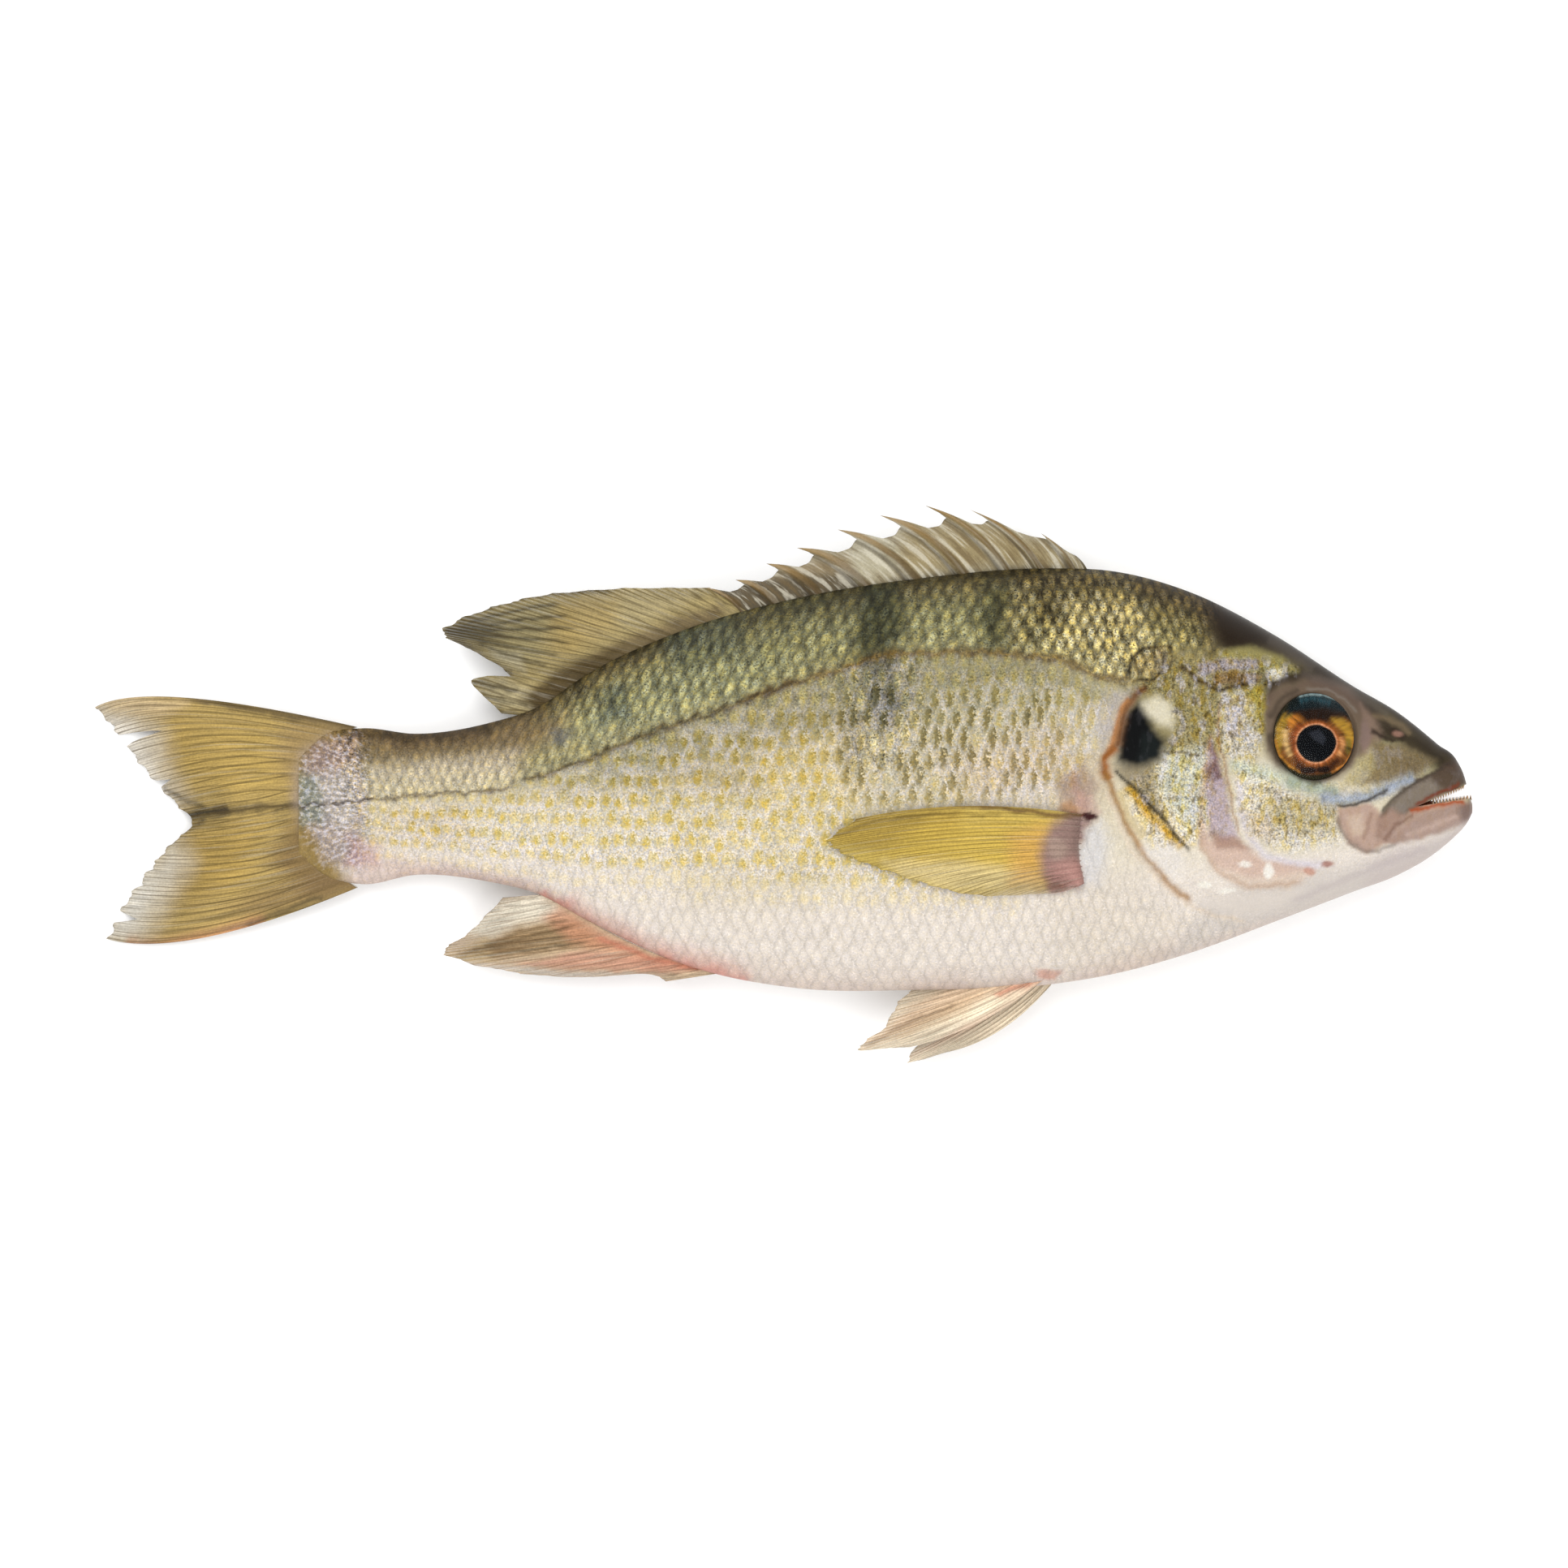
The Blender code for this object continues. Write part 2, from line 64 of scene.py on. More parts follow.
# %% Camera
PHOTO_WIDTH = 1932
PIXEL = 0.165
FISH_MIDDLE = (965.5, 965.0)
REST_HEIGHT = 17.6
LENS = 300.0
SENSOR = 36.0

distance = PHOTO_WIDTH * PIXEL * LENS / SENSOR
camera_data = bpy.data.cameras.new("camera")
camera_data.lens = LENS
camera_data.sensor_width = SENSOR
camera = bpy.data.objects.new("camera", camera_data)
camera.location = (
    (PHOTO_WIDTH / 2 - FISH_MIDDLE[0]) * PIXEL * MM,
    (FISH_MIDDLE[1] - PHOTO_WIDTH / 2) * PIXEL * MM,
    (REST_HEIGHT + distance) * MM,
)
scene = bpy.context.scene
scene.collection.objects.link(camera)
scene.camera = camera
scene.view_settings.view_transform = "Standard"


def seen_at(points):
    """The pixel of the photo that shows each point (mm). The left flank mirrors the right one."""
    above = np.abs(points[..., 2] - mid_plane(points[..., 0]))
    above = above + mid_plane(points[..., 0]) - REST_HEIGHT
    nearer = distance / (distance - above)
    return (
        FISH_MIDDLE[0] + points[..., 0] * nearer / PIXEL,
        FISH_MIDDLE[1] - points[..., 1] * nearer / PIXEL,
    )


print("the camera is", round(distance), "mm over the fish")

# %% [markdown]
# ## The form of the body
# A fish's body is a loft: oval sections of changing height and width along one line. The same stations as in
# the CAD model give the height of the back, the depth of the belly and the half width, and smooth curves run
# between them. The flank that lies on the table is pressed flat, and the limp tail sinks to the table.

# %% Stations and curves
STATIONS = np.array(
    (
        (-99.0, 5.5, -14.5, 0.8),
        (-94.0, 9.8, -18.6, 2.6),
        (-86.0, 11.2, -20.6, 4.4),
        (-75.0, 10.1, -18.7, 5.4),
        (-60.0, 12.3, -20.1, 6.8),
        (-50.0, 15.6, -22.6, 8.1),
        (-40.0, 22.2, -27.9, 9.8),
        (-20.0, 31.3, -37.0, 12.9),
        (2.0, 37.5, -41.6, 15.7),
        (28.0, 41.7, -42.0, 17.6),
        (55.0, 43.7, -40.8, 18.4),
        (67.0, 43.1, -38.8, 18.2),
        (83.0, 38.7, -34.4, 16.9),
        (100.0, 30.0, -28.1, 14.3),
        (116.0, 19.6, -22.0, 10.6),
        (125.0, 14.3, -18.6, 8.4),
        (133.0, 7.9, -13.8, 5.9),
        (137.0, 4.4, -10.3, 4.2),
        (138.4, 1.4, -8.8, 3.1),
        (139.4, -2.4, -7.3, 2.2),
        (140.0, -4.2, -6.0, 0.8),
    )
)
LIMP_FROM, TAIL_DROP, DROP_POWER = 20.0, 17.3, 1.3
WIDEST_ABOVE_MIDDLE = 0.04
SECTION_POWER, BACK_SHARPNESS, BELLY_SHARPNESS = 2.2, 0.62, 0.52
HALF_LENGTH = 140.0


def smooth_curve(where, knots, values):
    """The smooth curve through the values at the knots: a cubic whose slopes come from the neighbours."""
    slopes = np.gradient(values, knots)
    left = np.clip(np.searchsorted(knots, where) - 1, 0, len(knots) - 2)
    width = knots[left + 1] - knots[left]
    t = (where - knots[left]) / width
    return (
        values[left] * (1 + 2 * t) * (1 - t) ** 2
        + slopes[left] * width * t * (1 - t) ** 2
        + values[left + 1] * t**2 * (3 - 2 * t)
        + slopes[left + 1] * width * t**2 * (t - 1)
    )


def ramp(value, low, high):
    """0 below low, 1 above high, and a smooth step between them."""
    t = np.clip((value - low) / (high - low), 0.0, 1.0)
    return t * t * (3 - 2 * t)


def mid_plane(x):
    """Height over the table of the plane of symmetry, which the limp tail bends down."""
    behind = np.clip(LIMP_FROM - x, 0.0, None)
    return REST_HEIGHT - TAIL_DROP * (behind / (LIMP_FROM + HALF_LENGTH)) ** DROP_POWER


def outline(x):
    """Back, widest level, belly and half width of the body at x."""
    back, belly, half_width = (smooth_curve(x, STATIONS[:, 0], STATIONS[:, i]) for i in (1, 2, 3))
    level = (back + belly) / 2 + WIDEST_ABOVE_MIDDLE * (back - belly)
    return back, level, belly, half_width


def fullness(height):
    """Share of the half width at a height from -1, the belly, to 1, the back."""
    power = np.where(height > 0, BACK_SHARPNESS, BELLY_SHARPNESS)
    return np.clip(1 - np.abs(height) ** SECTION_POWER, 0.0, 1.0) ** power


def flank(x, y):
    """Half width of the bare body at (x, y)."""
    back, level, belly, half_width = outline(x)
    height = np.where(y > level, (y - level) / (back - level), (y - level) / (level - belly))
    return half_width * fullness(np.clip(height, -1.0, 1.0))


print("widest section:", round(float(outline(np.array(55.0))[3] * 2), 1), "mm")

# %% [markdown]
# ## Bones and folds of the head
# Under the skin of the head lie flat bones. Their edges show as steps and grooves: the gill cover's free
# edge, the cheek's rear edge, the jaw bones and the lips. Each is a line in photo pixels, with a profile
# across it. Adding such profiles to the body's width models them without sculpting by hand.

# %% Distances to lines
def nearest(x, y, points):
    """Distance to a line, the side of it (1 is its left), and the nearest point's share of the line."""
    points = np.array(points, float)
    best = np.full(x.shape, np.inf)
    side = np.ones(x.shape)
    along = np.zeros(x.shape)
    spans = len(points) - 1
    for index in range(spans):
        start, run = points[index], points[index + 1] - points[index]
        share = np.clip(((x - start[0]) * run[0] + (y - start[1]) * run[1]) / (run @ run), 0.0, 1.0)
        away_x, away_y = x - start[0] - share * run[0], y - start[1] - share * run[1]
        away = np.hypot(away_x, away_y)
        nearer = away < best
        best = np.where(nearer, away, best)
        side = np.where(nearer, np.sign(run[0] * away_y - run[1] * away_x), side)
        along = np.where(nearer, (index + share) / spans, along)
    return best, side, along


def ridge(px, py, points, width, height):
    """A rounded ridge, or a groove where the height is negative, that fades out at both ends of its line."""
    away, _, along = nearest(px, py, points)
    return height * np.exp(-((away / width) ** 2)) * ramp(along, -0.02, 0.1) * ramp(1.02 - along, 0.0, 0.12)


def step_edge(px, py, points, rise, width, fade):
    """A plate whose edge is the line: it rises on the line's right (y down) and fades away from it."""
    away, side, along = nearest(px, py, points)
    ahead = away * side
    plate = rise * ramp(ahead, -width, width) * np.exp(-np.clip(ahead, 0, None) / fade)
    gap = -0.5 * rise * np.exp(-(((ahead + 1.9 * width) / (1.6 * width)) ** 2))
    return (plate + gap) * ramp(along, 0.0, 0.08) * ramp(1 - along, 0.0, 0.1)


# %% [markdown]
# ## Where the bones lie
# The gill cover, the cheek plate and the inner edge of the gill cover are wide steps. The lips, folds,
# nostril and the scale over the gill cover are narrow ridges and grooves. The eye sits in a dip with a rim.

# %% Bones, lips and eye socket
GILL_EDGE = (
    (1559, 1133), (1523, 1133), (1493, 1123), (1465, 1105), (1434, 1082), (1401, 1047), (1380, 1001),
    (1369, 967), (1355, 941), (1376, 916), (1380, 888), (1392, 863), (1419, 845), (1446, 828),
)
CHEEK_EDGE = (
    (1650, 1066), (1620, 1064), (1589, 1062), (1557, 1052), (1538, 1030), (1528, 994), (1521, 936),
    (1518, 880),
)
INNER_GILL_EDGE = (
    (1610, 1086), (1580, 1095), (1544, 1098), (1513, 1090), (1488, 1072), (1478, 1045), (1482, 1000),
    (1494, 915),
)
PLATES = (
    # edge, rise in mm, width of the edge and length of the fade in pixels
    (GILL_EDGE, 1.1, 5.0, 60.0),
    (CHEEK_EDGE, 0.6, 4.0, 60.0),
    (INNER_GILL_EDGE, 0.5, 4.0, 45.0),
)
RIDGES = (
    # line, width in pixels, height in mm
    (((1496, 905), (1497, 960), (1503, 1020), (1522, 1052)), 11, -0.5),
    (((1645, 992), (1651, 1013), (1662, 1037), (1685, 1051), (1724, 1036), (1768, 1024)), 6, -0.5),
    (((1648, 992), (1690, 984), (1730, 968), (1793, 936)), 5, -0.4),
    (((1702, 1022), (1716, 1000), (1740, 980), (1798, 952)), 10, 0.55),
    (((1728, 1022), (1760, 1004), (1812, 999)), 11, 0.5),
    (((1552, 842), (1500, 849), (1470, 826), (1442, 817)), 6, -0.3),
    (((1400, 838), (1397, 815), (1413, 800), (1436, 796), (1443, 815), (1425, 838)), 4, -0.35),
    (((1371, 949), (1465, 1049)), 6, 0.3),
    (((1460, 1092), (1500, 1088)), 6, -0.25),
    (((1716, 905), (1694, 905)), 4, -0.45),
    (((1727, 906), (1720, 903)), 5, 0.25),
    (((1720, 1056), (1640, 1098), (1585, 1122)), 6, -0.2),
)
EYE_PIXEL = (1620, 907)
EYE_RADII = (49.5, 53.0)  # pixels
# The socket's rim, measured in radii of the eye, and its rise and dip in mm.
SOCKET_RING, SOCKET_WIDTH, SOCKET_RISE = 1.28, 0.2, 0.5
SOCKET_EDGE, SOCKET_SLOPE, SOCKET_DIP = 1.1, 0.13, 1.7


def relief(px, py):
    """How far (mm) the head's bones, lips and folds stand out of the plain body, at each pixel."""
    total = sum(step_edge(px, py, *plate) for plate in PLATES)
    total += sum(ridge(px, py, *fold) for fold in RIDGES)
    ring = np.hypot((px - EYE_PIXEL[0]) / EYE_RADII[0], (py - EYE_PIXEL[1]) / EYE_RADII[1])
    total += SOCKET_RISE * np.exp(-(((ring - SOCKET_RING) / SOCKET_WIDTH) ** 2))
    return total - SOCKET_DIP * ramp(SOCKET_EDGE - ring, 0.0, SOCKET_SLOPE)


print(len(PLATES), "plates and", len(RIDGES), "ridges or folds on the head")

# %% [markdown]
# ## Scales
# A fish's scales overlap like roof tiles, in staggered rows. A staggered grid is a square grid turned by 45
# degrees, so each point of the skin gets a place in such a turned grid: a row number and a place along the
# row, added and subtracted. Above the lateral line the rows follow the back. Below it they run level.
# The relief raises the rear edge of each scale a little, and the material below draws the same grid.

# %% Places in the grid of scales
SCALE_PITCH = np.array(((-99, 2.0), (-70, 2.5), (-20, 3.0), (30, 3.0), (55, 2.6), (85, 2.4), (141, 2.2)))
BACK_ROW = 1.02  # of the pitch
LOW_ROWS = np.array(((-60, 2.3), (-38, 2.5), (-24, 3.6), (-15, 4.15), (60, 4.15)))  # height, row pitch
LEAN = 0.28  # how far the back rows lean, between two stations where the lean fades out
LEAN_FRONT, LEAN_REAR = (55.0, 30.0), (-80.0, -50.0)
ROW_WOBBLE, WOBBLE_SIZE = 0.12, 9.0
TAIL_SQUEEZE = ((-99, -45), (1.5, 1.0))  # at x, the rows are this much closer
TABLE_STEP = 0.25
CLOUD_CELLS = 64


def running_sum(where, table):
    """How many steps of the table's changing size fit between its start and each place."""
    fine = np.arange(table[0, 0], table[-1, 0] + TABLE_STEP, TABLE_STEP)
    count = np.cumsum(TABLE_STEP / np.interp(fine, table[:, 0], table[:, 1]))
    return np.interp(where, fine, count)


def turned(along, row):
    """Places in the square grid, turned by 45 degrees, whose cells are the staggered scales."""
    return np.stack((along + row / 2, along - row / 2), axis=-1)


def scale_places(x, y):
    """Two grids of scales: one that follows the back, and one with level rows for the flank and belly."""
    pitch = np.interp(x, SCALE_PITCH[:, 0], SCALE_PITCH[:, 1])
    along = running_sum(x, SCALE_PITCH)
    depth = outline(x)[0] - y
    lean = LEAN * ramp(LEAN_FRONT[0] - x, 0.0, LEAN_FRONT[0] - LEAN_FRONT[1]) * ramp(x, *LEAN_REAR)
    wobble = ROW_WOBBLE * cloud(x, y, WOBBLE_SIZE, 3)
    back_rows = turned(along + lean * depth / pitch + wobble, depth / (BACK_ROW * pitch) + wobble)
    squeeze = np.interp(x, *TAIL_SQUEEZE)
    low_rows = turned(along + wobble, running_sum(y * squeeze, LOW_ROWS) + 0.5 * wobble)
    return back_rows, low_rows


def cloud(x, y, size, seed):
    """Soft random values from -1 to 1, in patches of about the size (in the units of x and y)."""
    table = np.random.default_rng(seed).uniform(-1, 1, (CLOUD_CELLS, CLOUD_CELLS))
    column, row = np.floor(x / size).astype(int), np.floor(y / size).astype(int)
    u, v = x / size - column, y / size - row
    u, v = u * u * (3 - 2 * u), v * v * (3 - 2 * v)
    corners = [table[(row + i) % CLOUD_CELLS, (column + j) % CLOUD_CELLS] for i in (0, 1) for j in (0, 1)]
    lower, upper = (left * (1 - u) + right * u for left, right in (corners[:2], corners[2:]))
    return lower * (1 - v) + upper * v


def scale_bulge(places):
    """Height from 0 to 1 of the scale's surface: low at its edges, and highest just before its rear edge."""
    offset = places - np.round(places)
    behind = -(offset[..., 0] + offset[..., 1]) / 2
    edge = 0.5 - np.abs(offset).max(axis=-1)
    return ramp(edge, 0.0, 0.22) * (0.7 + 0.6 * behind)


print("the largest scales are", SCALE_PITCH[:, 1].max(), "mm long")

# %% [markdown]
# ## Where the scales show
# The lateral line parts the two grids, and the head is bare, apart from faint scales. A closed outline in
# photo pixels with a soft edge says where something is: this helper also lays the paint further below.

# %% Where scales show
LATERAL_LINE = (
    (1403, 839), (1357, 833), (1300, 810), (1200, 803), (1100, 805), (1000, 835), (900, 870), (800, 905),
    (700, 945), (640, 965), (600, 975), (560, 977), (462, 984), (436, 988), (366, 992),
)
HEAD_SKIN = (
    (1490, 640), (1495, 760), (1450, 800), (1405, 850), (1378, 900), (1352, 940), (1378, 1010),
    (1405, 1060),
    (1470, 1112), (1560, 1146), (1760, 1146), (1900, 1050), (1900, 700), (1700, 640),
)
HEAD_FEATHER = 24.0  # pixels
SCALE_HEIGHT = 0.16  # mm
TAIL_BARE = (-94.0, -80.0)  # mm along the fish, from no scales to full ones


def above_lateral_line(px, py):
    line = np.array(LATERAL_LINE[::-1], float)
    return ramp(np.interp(px, line[:, 0], line[:, 1]) - py, -2.0, 2.0)


def closed_area(px, py, points, feather):
    """1 inside a closed outline, 0 outside it, and a soft edge as wide as the feather."""
    ring = np.array(tuple(points) + tuple(points[:1]), float)
    away = nearest(px, py, ring)[0]
    crossings = np.zeros(px.shape, int)
    for (x0, y0), (x1, y1) in zip(ring, ring[1:]):
        if y0 == y1:
            continue
        between = (py > min(y0, y1)) & (py <= max(y0, y1))
        crossings += between & (px < x0 + (py - y0) * (x1 - x0) / (y1 - y0))
    signed = np.where(crossings % 2 == 1, away, -away)
    return ramp(signed, -feather / 2, feather / 2)


def scale_relief(x, y, px, py):
    """Height (mm) that the scales add: full on the trunk, and little on the head."""
    back_rows, low_rows = scale_places(x, y)
    above = above_lateral_line(px, py)
    bulge = scale_bulge(back_rows) * above + scale_bulge(low_rows) * (1 - above)
    bare = closed_area(px, py, HEAD_SKIN, HEAD_FEATHER)
    return SCALE_HEIGHT * bulge * (1 - 0.9 * bare) * ramp(x, *TAIL_BARE)


print("lateral line of", len(LATERAL_LINE), "points")

# %% [markdown]
# ## The skin as a fine grid
# The skin is one tube of grid points: sections along the fish, each with the same number of points round it.
# The flank that is seen gets finer spacing than the one underneath. The tube is then cut into four pieces of
# fewer than 200,000 triangles. Where two pieces meet they would show a seam, because each piece on its own
# would work out its own normals. So the normals come from the whole grid and are handed to the pieces.

# %% Grid of the skin
TRUNK_STEP, HEAD_STEP = 0.52, 0.36  # mm between sections
SNOUT_LENGTH, SNOUT_SECTIONS, SNOUT_CROWDING = 5.0, 24, 1.6
POINTS_SEEN, POINTS_BELOW = 268, 140
FINE_ANGLES = 2000
TYPICAL_SECTION = (42.0, 18.0)  # half height and half width in mm
HEAD_FROM = 62.0
JAWS_FROM = 122.0
RELIEF_FADE = 0.7  # how the relief fades towards the back and the belly
CUTS = (-99.0, -14.0, HEAD_FROM, JAWS_FROM, HALF_LENGTH)


def even_angles(count, start):
    """Angles over half a turn whose points on a section of the body are evenly spaced."""
    fine = start + np.linspace(0.0, math.pi, FINE_ANGLES)
    height = np.sin(fine)
    y, z = TYPICAL_SECTION[0] * height, TYPICAL_SECTION[1] * np.sign(np.cos(fine)) * fullness(height)
    length = np.concatenate(([0.0], np.cumsum(np.hypot(np.diff(y), np.diff(z)))))
    return np.interp(np.linspace(0.0, length[-1], count, endpoint=False), length, fine)


def skin_points():
    """The grid of skin points in mm: rows from tail to snout, columns round the body."""
    trunk = np.arange(CUTS[0], HEAD_FROM, TRUNK_STEP)
    head = np.arange(HEAD_FROM, HALF_LENGTH - SNOUT_LENGTH, HEAD_STEP)
    snout = HALF_LENGTH - SNOUT_LENGTH * np.linspace(1.0, 0.0, SNOUT_SECTIONS) ** SNOUT_CROWDING
    x = np.concatenate((trunk, head, snout))[:, None]
    angle = np.concatenate((even_angles(POINTS_SEEN, -math.pi / 2), even_angles(POINTS_BELOW, math.pi / 2)))
    height = np.sin(angle)[None, :]
    back, level, belly, half_width = outline(x)
    y = level + height * np.where(height > 0, back - level, level - belly)
    x = np.broadcast_to(x, y.shape)
    side = np.sign(np.cos(angle))[None, :]
    sideways = side * fullness(height)
    bare = np.stack((x, y, mid_plane(x) + sideways * half_width), axis=-1)
    px, py = seen_at(bare)
    facing = np.abs(np.cos(angle))[None, :] ** RELIEF_FADE
    raised = (relief(px, py) + scale_relief(x, y, px, py)) * facing
    z = mid_plane(x) + sideways * (half_width + raised)
    return np.stack((x, y, np.maximum(z, 0.0)), axis=-1)


def grid_normals(points):
    """Outward normals of a grid that is closed round its columns."""
    along = np.gradient(points, axis=0)
    around = np.roll(points, -1, axis=1) - np.roll(points, 1, axis=1)
    normals = np.cross(along, around)
    return normals / np.maximum(np.linalg.norm(normals, axis=-1, keepdims=True), 1e-9)


def grid_faces(rows, columns, closed):
    """Four corners of each face of a grid. The columns of a closed grid join up."""
    i, j = np.meshgrid(np.arange(rows - 1), np.arange(columns if closed else columns - 1), indexing="ij")
    k = (j + 1) % columns
    low, high = i * columns, (i + 1) * columns
    return np.stack((low + j, high + j, high + k, low + k), -1).reshape(-1, 4)


def mesh_piece(name, points, faces):
    """A smooth mesh object from points in mm and faces of any number of corners."""
    mesh = bpy.data.meshes.new(name)
    mesh.from_pydata((points.reshape(-1, 3) * MM).tolist(), [], [list(face) for face in faces])
    mesh.validate()
    mesh.shade_smooth()
    piece = bpy.data.objects.new(name, mesh)
    scene.collection.objects.link(piece)
    return piece


whole_skin = skin_points()
whole_normals = grid_normals(whole_skin)
print("skin grid:", whole_skin.shape[0], "sections of", whole_skin.shape[1], "points")

# %% Skin pieces
SKIN_NAMES = ("skin_tail", "skin_middle", "skin_head", "skin_jaws")
cut_rows = np.searchsorted(whole_skin[:, 0, 0], CUTS)
skin_rows = [slice(first, min(last + 1, len(whole_skin))) for first, last in zip(cut_rows, cut_rows[1:])]


def skin_piece(name, rows):
    """One piece of the skin, with a cap at the tail's end, at the snout and behind the jaws."""
    points, columns = whole_skin[rows], whole_skin.shape[1]
    count = points.shape[0]
    faces = grid_faces(count, columns, closed=True).tolist()
    if rows.start == 0 or name == "skin_jaws":
        faces.append(list(range(columns)))
    if name == "skin_jaws":
        faces.append(list(range((count - 1) * columns, count * columns))[::-1])
    return mesh_piece(name, points, faces)


skins = {name: skin_piece(name, rows) for name, rows in zip(SKIN_NAMES, skin_rows)}
for name, piece in skins.items():
    print(name, len(piece.data.polygons), "faces")

# %% [markdown]
# ## The mouth
# The lips are parted, and white shows between the tips of the jaws. A wedge cuts that gap with a Boolean
# modifier, the same way as in the CAD model. The Boolean works on the small jaw piece alone, which is quick.
# Its normals at the seam come from the whole grid, and elsewhere from the cut mesh itself.

# %% Cutting the gap between the jaws
MOUTH_CORNER, MOUTH_UPPER, MOUTH_LOWER = (128.4, -4.7), (141.5, 1.0), (141.5, -2.8)
MOUTH_HALF_WIDTH = 15.0
WEDGE_FACES = ((2, 1, 0), (3, 4, 5), (0, 1, 4, 3), (1, 2, 5, 4), (2, 0, 3, 5))
HAIR_BREADTH = 1e-6  # metres


def mouth_wedge():
    corners = np.array((MOUTH_CORNER, MOUTH_LOWER, MOUTH_UPPER))
    heights = (REST_HEIGHT - MOUTH_HALF_WIDTH, REST_HEIGHT + MOUTH_HALF_WIDTH)
    levels = [np.column_stack((corners, np.full(3, height))) for height in heights]
    return mesh_piece("mouth_wedge", np.concatenate(levels), WEDGE_FACES)


def cut_mouth(jaws):
    wedge = mouth_wedge()
    cut = jaws.modifiers.new("mouth", "BOOLEAN")
    cut.operation = "DIFFERENCE"
    cut.object = wedge
    cut.solver = "EXACT"
    bpy.context.view_layer.update()
    mesh = bpy.data.meshes.new_from_object(jaws.evaluated_get(bpy.context.evaluated_depsgraph_get()))
    jaws.modifiers.clear()
    jaws.data = mesh
    bpy.data.objects.remove(wedge)
    bm = bmesh.new()
    bm.from_mesh(mesh)
    seam = min(vertex.co.x for vertex in bm.verts) + HAIR_BREADTH
    caps = [face for face in bm.faces if all(vertex.co.x < seam for vertex in face.verts)]
    bmesh.ops.delete(bm, geom=caps, context="FACES_ONLY")
    bm.to_mesh(mesh)
    bm.free()
    mesh.shade_smooth()


def points_of(piece):
    flat = np.empty(len(piece.data.vertices) * 3, np.float32)
    piece.data.vertices.foreach_get("co", flat)
    return flat.reshape(-1, 3).astype(float) / MM


def hand_over_normals(piece, rows):
    """Gives the piece the whole grid's normals, or only those near its seam if it has been cut since."""
    own = np.empty(len(piece.data.vertices) * 3, np.float32)
    piece.data.vertex_normals.foreach_get("vector", own)
    own = own.reshape(-1, 3).astype(float)
    grid = whole_normals[rows].reshape(-1, 3)
    if len(grid) == len(own):
        own = grid
    else:
        first = whole_skin[rows.start]
        points = points_of(piece)
        for index in np.where(points[:, 0] < first[0, 0] + 1e-3)[0]:
            own[index] = whole_normals[rows.start][np.argmin(((first - points[index]) ** 2).sum(1))]
    piece.data.normals_split_custom_set_from_vertices(own.tolist())


cut_mouth(skins["skin_jaws"])
for piece, rows in zip(skins.values(), skin_rows):
    hand_over_normals(piece, rows)
print("jaws after the cut:", len(skins["skin_jaws"].data.polygons), "faces")

# %% [markdown]
# ## Paint
# A fish is not one colour. Dark bars, a pale belly, a black blotch on the gill cover and many small marks lie
# on it. Each mark here is an area, a line or a spot in photo pixels, with a colour, a strength and a soft
# edge, and then its points as x and y in turn, or a spot's middle and radii. They are mixed onto the mesh one
# after another, as with brushes, and kept as a colour at each vertex.
# The fine pattern of scales is not painted: the material's nodes draw it, as sharp as any render needs.

# %% Brushes
LIGHT_GAIN = 1.52  # how much brighter than its own colour a pale surface looks under the lights below
BIG_WAVES, SMALL_WAVES, SMALL_SHARE = 11.0, 4.0, 0.6  # how the edges of marks wander, in pixels


def tint(text):
    """A colour as the renderer counts it, from the #rrggbb that it should look like under the lights."""
    value = np.array([int(text[i : i + 2], 16) for i in (1, 3, 5)]) / 255
    return np.where(value <= 0.04045, value / 12.92, ((value + 0.055) / 1.055) ** 2.4) / LIGHT_GAIN


def mark(kind, colour, strength, soft, *points):
    """A brush mark. Its points are given one by one, or as plain numbers, x and y in turn."""
    if not np.ndim(points[0]):
        points = tuple(zip(points[::2], points[1::2]))
    return kind, colour, strength, soft, points


area, line, spot = (functools.partial(mark, kind) for kind in ("area", "line", "spot"))


def coverage(kind, px, py, soft, points):
    """How much of each place a mark covers, from 0 to 1."""
    if kind == "area":
        return closed_area(px, py, points, soft)
    if kind == "line":
        away, _, along = nearest(px, py, points)
        return np.exp(-((away / (soft / 2)) ** 2)) * ramp(along, -0.01, 0.06) * ramp(1.01 - along, 0.0, 0.06)
    (cx, cy), (rx, ry) = points
    share = np.hypot((px - cx) / rx, (py - cy) / ry)
    return 1 - ramp(share, 1 - soft / (rx + ry), 1 + soft / (rx + ry))


def lay_marks(marks, px, py, paint, wobble):
    """Mixes each mark into the paint, with edges that wander a little."""
    rough_x = px + wobble * (cloud(px, py, BIG_WAVES, 5) + SMALL_SHARE * cloud(px, py, SMALL_WAVES, 6))
    rough_y = py + wobble * (cloud(px, py, BIG_WAVES, 7) + SMALL_SHARE * cloud(px, py, SMALL_WAVES, 8))
    for kind, colour, strength, soft, points in marks:
        if kind == "spot":
            (cx, cy), (rx, ry) = points
            box = (cx - rx - soft, cx + rx + soft, cy - ry - soft, cy + ry + soft)
        else:
            corners = np.array(points, float)
            (x0, y0), (x1, y1) = corners.min(0) - 2 * soft, corners.max(0) + 2 * soft
            box = (x0, x1, y0, y1)
        near = (rough_x > box[0]) & (rough_x < box[1]) & (rough_y > box[2]) & (rough_y < box[3])
        if not near.any():
            continue
        share = strength * coverage(kind, rough_x[near], rough_y[near], soft, points)
        value = tint(colour) if isinstance(colour, str) else np.array(colour)
        paint[near] += (value - paint[near]) * share[:, None]
    return paint


